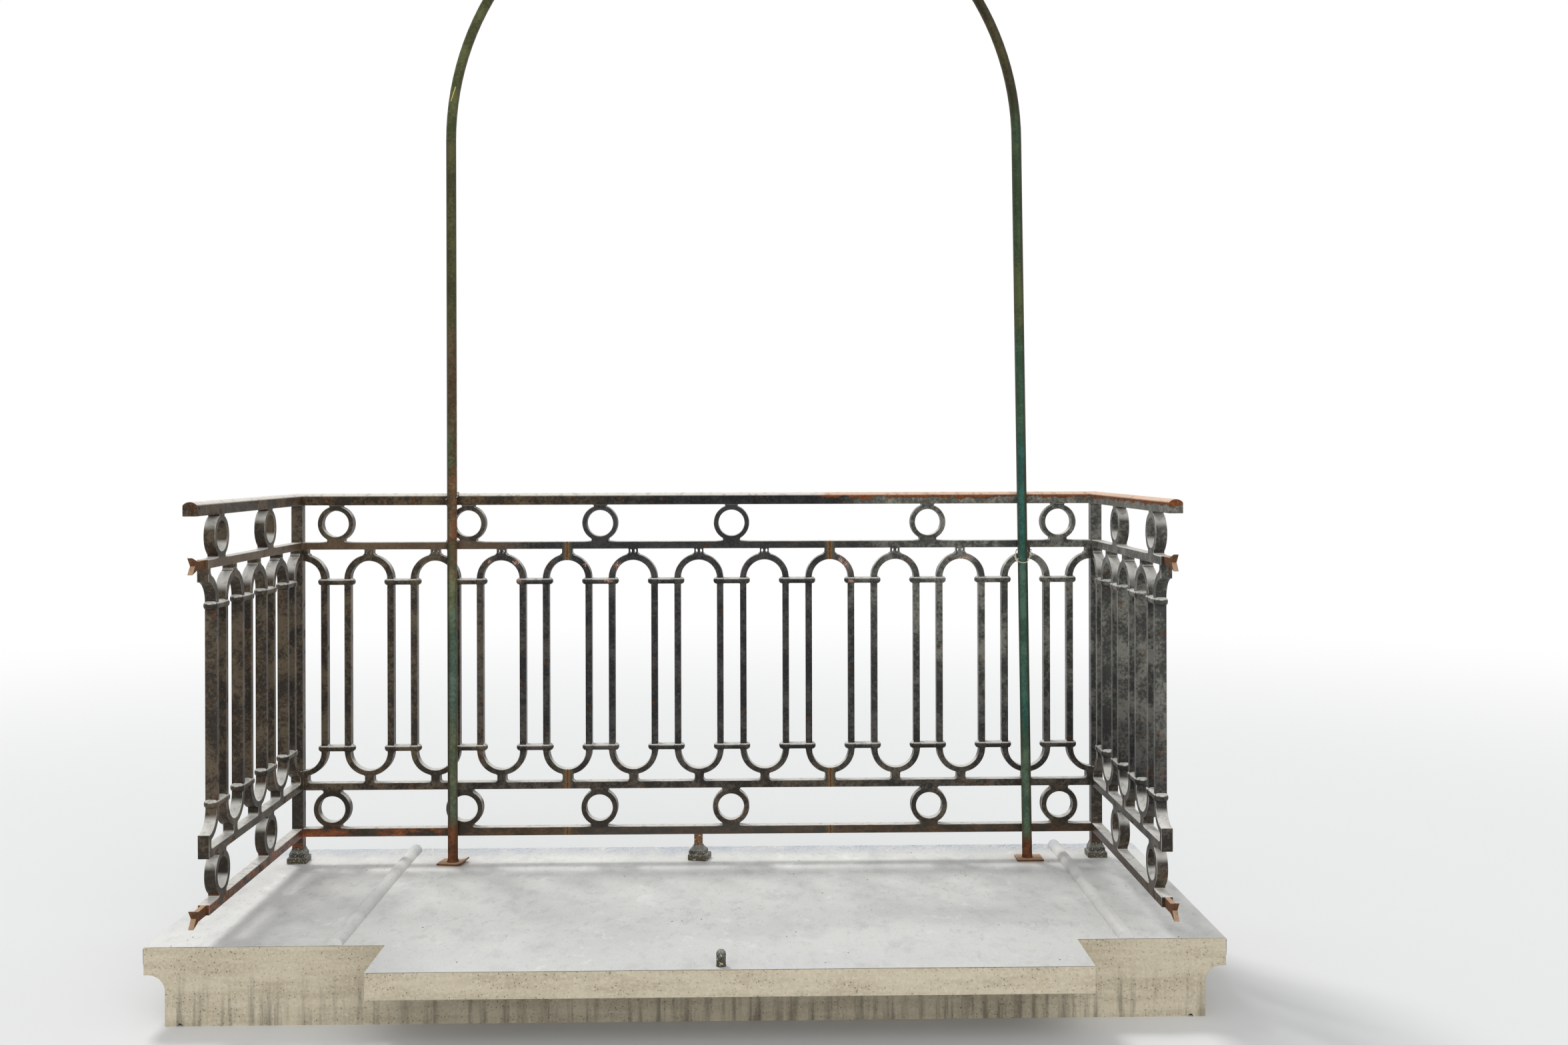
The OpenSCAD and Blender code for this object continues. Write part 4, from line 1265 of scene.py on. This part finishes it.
def plate_mesh(centre, turn, tip_up):
    """A thin plate, sliced along its width so that one end can be bent up."""
    rotation = Matrix.Rotation(turn, 3, "Z")
    rings = []
    for share in (-1.0, -0.97, -0.5, 0.0, 0.4, 0.6, 0.75, 0.88, 0.97, 1.0):
        along = share * PLATE_W / 2
        lift = tip_up * max(0.0, (share - 0.3) / 0.7) ** 2
        ease = PLATE_EASE if abs(share) == 1.0 else 0.0
        ring = []
        for point in rounded(PLATE_D / 2 - ease, PLATE_T / 2 - ease, PLATE_EASE - ease * 0.9, 2):
            lean = 1 + 0.35 * point.x / PLATE_D
            ring.append(centre + rotation @ Vector((along, point.x, 0))
                        + Vector((0, 0, PLATE_T / 2 + point.y + lift * lean)))
        rings.append(ring)
    return mesh_of(loft(rings))


for side, turn, tip_up in (("left", LEFT_PLATE_TURN, TIP_UP), ("right", 0.0, 0.0)):
    centre = middle_of("base_plate_" + side)
    centre.z = FLOOR_Z
    settle("iron_base_plate_" + side, plate_mesh(centre, turn, tip_up), rusty_iron,
           "base_plate_" + side, sharp=35)


# Pipe hoop
# A water pipe bent to a half circle between two straight legs, painted green long ago
# and welded to its base plates. The paint has faded, and rust comes up from the welds.
PIPE_SIDES = 40
BEND_STEPS = 72
left_low, left_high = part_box("hoop_leg_left")
right_low, right_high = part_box("hoop_leg_right")
PIPE_R = (left_high.y - left_low.y) / 2
HOOP_Y = (left_high.y + left_low.y) / 2
SPRING_Z = left_high.z
LEG_FOOT_Z = left_low.z
LEFT_LEG_X = (left_low.x + left_high.x) / 2
RIGHT_LEG_TOP_X = right_low.x + PIPE_R
RIGHT_LEG_BASE_X = right_high.x - PIPE_R
HOOP_R = (RIGHT_LEG_TOP_X - LEFT_LEG_X) / 2
HOOP_X = (RIGHT_LEG_TOP_X + LEFT_LEG_X) / 2
WELD_STEPS = [(0.0, 0.0034), (0.0012, 0.0028), (0.003, 0.0017), (0.0055, 0.0008), (0.009, 0.0002),
              (0.012, 0.0)]
TIE_STAIN_Z = 0.881
SCRATCH_X = -0.6615
SCRATCH_Z = 2.092
SCRATCH_LEAN = math.radians(-18)


def leg_rings(base_x, top_x, weld):
    """Level rings up a leg, with an uneven weld round its foot."""
    heights = [(height, bulge * weld) for height, bulge in WELD_STEPS]
    heights += [(height, 0.0) for height in spaced(0.04, SPRING_Z - LEG_FOOT_Z, 0.08)]
    rings = []
    for height, bulge in heights:
        centre_x = base_x + (top_x - base_x) * height / (SPRING_Z - LEG_FOOT_Z)
        ring = []
        for i in range(PIPE_SIDES):
            turn = math.tau * i / PIPE_SIDES
            way = Vector((math.cos(turn), math.sin(turn), 0))
            lumps = 1 + 0.5 * noise.noise(Vector((base_x, turn * 3, height * 90)))
            ring.append(Vector((centre_x, HOOP_Y, LEG_FOOT_Z + height)) + way * (PIPE_R + bulge * lumps))
        rings.append(ring)
    return rings


def bend_rings():
    """Rings round the half circle at the top."""
    rings = []
    for step in range(BEND_STEPS + 1):
        turn = math.pi * step / BEND_STEPS
        out = Vector((math.cos(turn), 0, math.sin(turn)))
        centre = Vector((HOOP_X, HOOP_Y, SPRING_Z)) + out * HOOP_R
        pipe_r = PIPE_R - 0.0002 * math.sin(turn)
        round_pipe = [math.tau * i / PIPE_SIDES for i in range(PIPE_SIDES)]
        rings.append([centre + pipe_r * (math.cos(angle) * out + Vector((0, math.sin(angle), 0)))
                      for angle in round_pipe])
    return rings


def banded(place, level, bands):
    """Old paint that changes its tone down the pipe. Each band is (lower limit, dark, worn)."""
    (_, dark, worn), *higher = reversed(bands)
    colour = old_paint(place, dark, worn)["Colour"]
    for limit, dark, worn in higher:
        above = ramp(level, limit - 0.05, limit + 0.05)
        colour = over(above, colour, old_paint(place, dark, worn)["Colour"])
    return colour


def scratch_share(axes, rise):
    """Where a slanting scratch lies, high on the left leg."""
    off = add("CombineXYZ", {"X": minus(axes["X"], SCRATCH_X), "Z": minus(rise, SCRATCH_Z)}).outputs[0]
    turned = add("Mapping", {"Vector": off, "Rotation": (0.0, SCRATCH_LEAN, 0.0)}).outputs[0]
    across, along = (absolute(axes_of(turned)[name]) for name in "XZ")
    return times(ramp(across, 0.0016, 0.0008), ramp(along, 0.022, 0.019))


def pipe_finish(name, bands, rust_top, rust_z, high_flank_shade, right_bands=()):
    """Old green paint in bands, with painted brown shade on its flanks and on its foot's right side, and
    rust up from the foot.
    """
    material, place = new_finish(name, 0.18)
    axes = axes_of(place)
    rise = minus(axes["Z"], FLOOR_Z)
    drift = grain(stretched(place, 30, 30, 9), 1.0, 5, 0.65)
    level = plus(rise, times(minus(drift, 0.5), 0.3))
    colour = banded(place, level, bands)
    flank_shade_share = ramp(rise, 1.0, 0.75, high_flank_shade, 0.9)
    if right_bands:
        to_right = ramp(axes["X"], HOOP_X - 0.25, HOOP_X + 0.1)
        colour = over(to_right, colour, banded(place, level, right_bands))
        flank_shade_share = times(flank_shade_share, to_right)

    # Which way a spot faces from the hoop's middle: 1 is outwards, and -1 is inwards.
    from_middle = minus(axes["X"], HOOP_X)
    above_spring = most(minus(axes["Z"], SPRING_Z), 0.0)
    outward = vector_calc("NORMALIZE", add("CombineXYZ", {"X": from_middle, "Z": above_spring}).outputs[0])
    facing = vector_calc("DOT_PRODUCT", outward, normal_at(place))
    uneven = minus(grain(stretched(place, 26, 26, 6), 1.0, 3, 0.6), 0.5)
    wavering = plus(facing, times(uneven, 0.7))

    # Rust has run down the leg's right side, and it has come up from the weld.
    to_side = times(facing, calc("SIGN", from_middle))
    runs = use(rust, Place=stretched(place, 1, 1, 0.6), Scale=110.0, Cover=0.48)
    sided = times(ramp(plus(to_side, times(uneven, 1.8)), -0.3, 0.2), ramp(level, 0.77, 0.84))
    sided = times(sided, ramp(level, rust_top, rust_top - 0.5))
    mottled = times(runs["Mask"], most(sided, 0.06))
    run_tone = over(ramp(runs["Height"], 0.72, 0.95), (66, 44, 30), (112, 76, 50))
    bright_tone = over(ramp(runs["Height"], 0.66, 0.92), (82, 54, 38), (132, 84, 56))
    foot = use(rust, Place=place, Scale=55.0, Cover=0.5)
    foot_tone = over(ramp(foot["Height"], 0.55, 0.95), (76, 47, 31), (120, 76, 48))
    # Painted shade darkens the foot's rust on its right side.
    foot_tone = over(ramp(to_side, 0.2, 0.9, 0.0, 0.6), foot_tone, (72, 46, 34))
    from_foot = plus(rise, times(minus(grain(place, 60, 4, 0.7), 0.5), 0.05))
    footing = ramp(from_foot, rust_z + 0.014, rust_z - 0.01)
    stain_place = (LEFT_LEG_X - 0.006, HOOP_Y - PIPE_R, FLOOR_Z + TIE_STAIN_Z)
    stain = use(bare_patch, Place=place, Centre=stain_place, Reach=(0.014, 0.03, 0.012))["Mask"]
    colour = layered(
        colour,
        # Painted shade: dark olive-brown on the outer flank, and brown on the inner flank.
        (times(ramp(wavering, 0.2, 0.75), flank_shade_share), (50, 42, 22)),
        (ramp(wavering, -0.6, -0.95, 0.0, 0.5), (74, 60, 42)),
        (mottled, over(ramp(level, 1.1, 0.95), run_tone, bright_tone)),
        (ramp(from_foot, rust_z + 0.045, rust_z + 0.01, 0.0, 0.6), (84, 68, 44)),
        (footing, foot_tone),
        (scratch_share(axes, rise), (206, 178, 98)),
        (times(stain, 0.8), (112, 54, 40)),
    )
    relief = plus(foot["Height"], times(runs["Height"], 0.7))
    finish_with(colour, ramp(most(mottled, footing), 0, 1, 0.4, 0.85), relief, 0.0007)
    return material


# The bands of each leg and of the bend's two halves, from the top down.
LEFT_BANDS = (
    (1.42, (52, 55, 24), (82, 80, 46)),
    (1.20, (56, 48, 26), (92, 78, 50)),
    (1.04, (52, 60, 32), (88, 94, 62)),
    (0.83, (72, 60, 38), (118, 98, 70)),
    (0.70, (74, 80, 52), (108, 112, 82)),
    (0.38, (58, 80, 66), (90, 110, 96)),
    (0.16, (66, 78, 58), (102, 106, 82)),
    (0.0, (50, 66, 50), (84, 98, 78)),
)
RIGHT_BANDS = (
    (1.62, (40, 60, 36), (62, 82, 52)),
    (1.42, (50, 60, 28), (76, 86, 50)),
    (1.15, (38, 70, 48), (62, 94, 70)),
    (0.84, (24, 76, 66), (50, 102, 90)),
    (0.50, (46, 82, 68), (76, 112, 96)),
    (0.34, (30, 76, 66), (54, 102, 90)),
    (0.0, (56, 82, 62), (88, 110, 88)),
)
BEND_LEFT = ((0.0, (58, 64, 32), (90, 94, 56)),)
BEND_RIGHT = (
    (2.075, (42, 39, 16), (70, 65, 36)),
    (0.0, (36, 62, 40), (60, 84, 58)),
)
left_pipe = pipe_finish("green_pipe_left", LEFT_BANDS, rust_top=1.6, rust_z=0.104, high_flank_shade=0.45)
right_pipe = pipe_finish("green_pipe_right", RIGHT_BANDS, rust_top=0.5, rust_z=0.056, high_flank_shade=0.9)
top_pipe = pipe_finish("green_pipe_bend", BEND_LEFT, rust_top=0.5, rust_z=-1.0, high_flank_shade=0.9,
                       right_bands=BEND_RIGHT)

for name, rings, finish in (
    ("leg_left", leg_rings(LEFT_LEG_X, LEFT_LEG_X, 1.0), left_pipe),
    ("leg_right", leg_rings(RIGHT_LEG_BASE_X, RIGHT_LEG_TOP_X, 0.4), right_pipe),
    ("bend", bend_rings(), top_pipe),
):
    settle("pipe_" + name, mesh_of(loft(rings)), finish, "hoop_" + name, sharp=40)


# Wire ties
# Two strands of dull iron wire, twisted together, bind the left leg to the handrail and
# to the upper rail. Each ends in a short twist beside the leg.
WIRE_D = 0.0024
TIE_SLACK = 0.0009
SEAT_GAP = 0.0003
WIRE_LIE = Vector((0.9, 0, -0.4))
WIRE_TWISTS = 17
WIRE_END = ((0, 0, 0), (0.001, -0.0015, 0.0008), (0.002, -0.003, 0.001), (0.0024, -0.0045, 0.0004))
GLINT_Z = (0.9945, 0.8825)


def tie_route(thickness, bar_h, bar_front, bar_back, front_z):
    """Points round a leg and a bar, from the leg's axis and the bar's underside."""
    r = PIPE_R + thickness / 2 + TIE_SLACK
    top = bar_h + thickness / 2 + 0.001
    under = -thickness / 2 - 0.001
    front = bar_front - thickness / 2 - SEAT_GAP
    back = bar_back + thickness / 2 + 0.001
    corner = thickness / 2 + 0.0007
    rise = top - front_z
    fall = front_z - under
    return [
        (0, -r, front_z),
        (r * 0.55, -r * 0.84, front_z + rise * 0.05),
        (r * 0.92, -r * 0.42, front_z + rise * 0.2),
        (r * 1.04, 0, front_z + rise * 0.45),
        (r * 1.05, front * 0.6, front_z + rise * 0.8),
        (r * 1.0, front, top),
        (r * 0.8, bar_front + 0.006, top + 0.0006),
        (r * 0.5, bar_back - 0.003, top + 0.0004),
        (r * 0.4, bar_back + corner, bar_h + corner),
        (r * 0.25, back + 0.0003, bar_h - 0.003),
        (0, back + 0.0004, bar_h / 2),
        (-r * 0.25, back + 0.0003, 0.003),
        (-r * 0.4, bar_back + corner, -corner),
        (-r * 0.5, bar_back - 0.003, under - 0.0004),
        (-r * 0.8, bar_front + 0.006, under - 0.0006),
        (-r * 1.0, front, under),
        (-r * 1.05, front * 0.6, under + fall * 0.2),
        (-r * 1.04, 0, under + fall * 0.6),
        (-r * 0.92, -r * 0.42, under + fall * 0.88),
        (-r * 0.55, -r * 0.84, under + fall * 0.98),
    ]


def moved(points, place):
    return [place + Vector(point) for point in points]


def along(line, i, closed):
    """The line's point of that number. A closed line goes round, and an open one stops there."""
    return line[i % len(line) if closed else max(0, min(len(line) - 1, i))]


def curved(points, closed, steps):
    """A smooth line through points, with that many steps between each two."""
    line = []
    for i in range(len(points) - (not closed)):
        a, b, c, d = (along(points, i + k, closed) for k in (-1, 0, 1, 2))
        for t in (step / steps for step in range(steps)):
            line.append(0.5 * (2 * b + (c - a) * t + (2 * a - 5 * b + 4 * c - d) * t**2
                               + (3 * b - a - 3 * c + d) * t**3))
    return line if closed else line + [points[-1]]


def frames_along(line, closed, lie):
    """The two directions across a line at each of its points."""
    frames = []
    for i in range(len(line)):
        direction = (along(line, i + 1, closed) - along(line, i - 1, closed)).normalized()
        across = direction.cross(lie).normalized()
        frames.append((across, across.cross(direction)))
    return frames


def strand(line, radius, closed, lie, sides):
    """A round strand along a line."""
    turns = [math.tau * s / sides for s in range(sides)]
    rings = [
        [point + radius * (math.cos(turn) * across + math.sin(turn) * up) for turn in turns]
        for point, (across, up) in zip(line, frames_along(line, closed, lie))
    ]
    return loft(rings, closed)


def twisted(line, diameter, closed, lie, twists, sides):
    """Two strands laid round each other along a line."""
    frames = frames_along(line, closed, lie)
    steps = len(line) - (not closed)
    solids = []
    for half_turn in (0, math.pi):
        wound = []
        for i, (point, (across, up)) in enumerate(zip(line, frames)):
            turn = math.tau * twists * i / steps + half_turn
            wound.append(point + diameter / 4 * (math.cos(turn) * across + math.sin(turn) * up))
        solids.append(strand(wound, diameter / 4 * 1.06, closed, lie, sides))
    return solids


wire_finish, place = new_finish("dull_iron_wire", 0.6)
mottle = grain(place, 300, 3, 0.6)
axes = axes_of(place)
from_leg = absolute(minus(axes["X"], LEFT_LEG_X))
from_glint = calc("MINIMUM", *(absolute(minus(axes["Z"], FLOOR_Z + z)) for z in GLINT_Z))
# Small pale spots where the wire rounds the sides of the leg, at two heights, are a painted glint on
# rubbed wire.
rubbed_and_glinting = times(ramp(from_leg, PIPE_R - 0.001, PIPE_R + 0.0012), ramp(from_glint, 0.005, 0.0035))
dull = over(ramp(mottle, 0.4, 0.6), (70, 52, 38), (112, 92, 74))
colour = over(rubbed_and_glinting, dull, (226, 222, 214))
finish_with(colour, ramp(rubbed_and_glinting, 0, 1, 0.7, 0.4), mottle, 0.0003)

handrail_gap = RAIL_Y - RAIL_HALF - HOOP_Y
casting_gap = RAIL_Y - CASTING_D / 2 - HOOP_Y
WIRE_TIES = (
    ("upper", RAIL_BASE, RAIL_TOP - RAIL_BASE, handrail_gap, handrail_gap + 2 * RAIL_HALF, 0.0196),
    ("lower", FLOOR_Z + UPPER_RAIL_Z, RAIL_H, casting_gap, casting_gap + CASTING_D, 0.0273),
)
for level, underside, *bar_sizes in WIRE_TIES:
    name = "wire_tie_" + level
    route = moved(tie_route(WIRE_D, *bar_sizes), Vector((LEFT_LEG_X, HOOP_Y, underside)))
    end = curved(moved(WIRE_END, route[3]), False, 8)
    solids = twisted(curved(route, True, 12), WIRE_D, True, WIRE_LIE, WIRE_TWISTS, 6)
    solids += twisted(end, WIRE_D, False, Vector((1, 0.3, 0)), 1.5, 6)
    settle("twisted_" + name, mesh_of(*solids), wire_finish, name, sharp=60)


# String tie
# Undyed twisted string goes round the right leg and behind the neck of the nearest arch.
# It hangs in front of the leg, and is knotted on both sides, with three loose ends.
STRING_D = 0.003
STRING_DROP = 0.034
STRING_LIE = Vector((0, -0.5, 1))
STRING_TWISTS = 30
KNOT_CORE = 0.0030
KNOT_LOBE = 0.0034
KNOT_HALF_D = 0.0026
KNOT_STEPS = 36
KNOT_LIE = Vector((0.31, 1, 0.17))
END_LIE = Vector((0, 1, 0.2))
NECK_HALF_W = 0.0128
TIE_HEIGHT = CROWN_Z + UPPER_NECK_H / 2


def string_route(neck_dx):
    """Points of the string's loop, from the leg's axis, towards the side with the neck."""
    r = PIPE_R + STRING_D / 2 + TIE_SLACK
    beside = NECK_HALF_W + STRING_D / 2 + TIE_SLACK
    right = neck_dx + beside
    left = neck_dx - beside
    front = casting_gap
    back = casting_gap + CASTING_D
    behind = back + STRING_D
    corner = STRING_D / 2 + 0.0005
    high = TIE_HEIGHT
    low = high - STRING_DROP
    return [
        (0, -r, low),
        (r * 0.56, -r * 0.87, low + STRING_DROP * 0.07),
        (r * 0.98, -r * 0.5, low + STRING_DROP * 0.25),
        (r * 1.22, 0, low + STRING_DROP * 0.46),
        ((r + right) / 2 + 0.0015, front * 0.55, low + STRING_DROP * 0.72),
        (right, front + 0.001, high - 0.001),
        (right, (front + back) / 2, high),
        (right, back - 0.001, high),
        (right - 0.0008, back + corner, high),
        (right - 0.004, behind, high),
        (neck_dx, behind, high),
        (left + 0.004, behind, high),
        (left + 0.0008, back + corner, high),
        (left - 0.0005, back - 0.002, high),
        (left - 0.006, (front + back) / 2, high),
        (min(left - 0.011, -r), front * 0.85, high - STRING_DROP * 0.12),
        (-r * 1.18, front * 0.1, high - STRING_DROP * 0.48),
        (-r * 1.06, -r * 0.45, low + STRING_DROP * 0.22),
        (-r * 0.64, -r * 0.86, low + STRING_DROP * 0.05),
    ]


string_finish, place = new_finish("undyed_string", 0.2)
fibres = grain(stretched(place, 1, 1, 2), 900, 3, 0.7)
soil = grain(place, 60, 3, 0.6)
colour = over(ramp(fibres, 0.35, 0.65), (212, 202, 178), (240, 234, 216))
colour = over(ramp(soil, 0.5, 0.66, 0, 0.3), colour, (178, 158, 126))
finish_with(colour, ramp(fibres, 0.3, 0.7, 0.8, 1.0), fibres, 0.0004)

leg_share = (FLOOR_Z + TIE_HEIGHT - LEG_FOOT_Z) / (SPRING_Z - LEG_FOOT_Z)
string_leg_x = RIGHT_LEG_BASE_X + (RIGHT_LEG_TOP_X - RIGHT_LEG_BASE_X) * leg_share
neck_dx = 1.5 * PANEL_W - LOOP_PITCH - string_leg_x
leg_place = Vector((string_leg_x, HOOP_Y, FLOOR_Z))
route = moved(string_route(neck_dx), leg_place)
solids = twisted(curved(route, True, 10), STRING_D, True, STRING_LIE, STRING_TWISTS, 8)
knot = leg_place + Vector((-PIPE_R - 0.0036, -0.007, TIE_HEIGHT - STRING_DROP * 0.76))
bow = leg_place + Vector((neck_dx + NECK_HALF_W, casting_gap * 0.66, TIE_HEIGHT - 0.0105))
for middle, size in ((knot, 0.8), (bow, 0.75)):
    tied = []
    for turn in (math.tau * i / KNOT_STEPS for i in range(KNOT_STEPS)):
        across = KNOT_CORE * math.sin(turn) + KNOT_LOBE * math.sin(2 * turn)
        up = KNOT_CORE * math.cos(turn) - KNOT_LOBE * math.cos(2 * turn)
        tied.append(middle + size * Vector((across, KNOT_HALF_D * math.sin(3 * turn), up)))
    solids.append(strand(tied, STRING_D * 0.4, True, KNOT_LIE, 8))
ENDS = (
    (knot, ((0, 0, 0), (-0.002, -0.001, 0.003), (-0.005, -0.002, 0.007), (-0.008, -0.003, 0.011),
            (-0.0105, -0.003, 0.0145))),
    (bow, ((0, 0, 0), (0.003, -0.002, -0.003), (0.007, -0.003, -0.003), (0.011, -0.003, 0.000))),
    (bow, ((0, 0, 0), (0.001, -0.003, -0.004), (-0.001, -0.004, -0.009))),
)
for start, end in ENDS:
    solids += twisted(curved(moved(end, start), False, 8), STRING_D * 0.8, False, END_LIE, 4, 6)
settle("knotted_string_tie", mesh_of(*solids), string_finish, "string_tie", sharp=60)
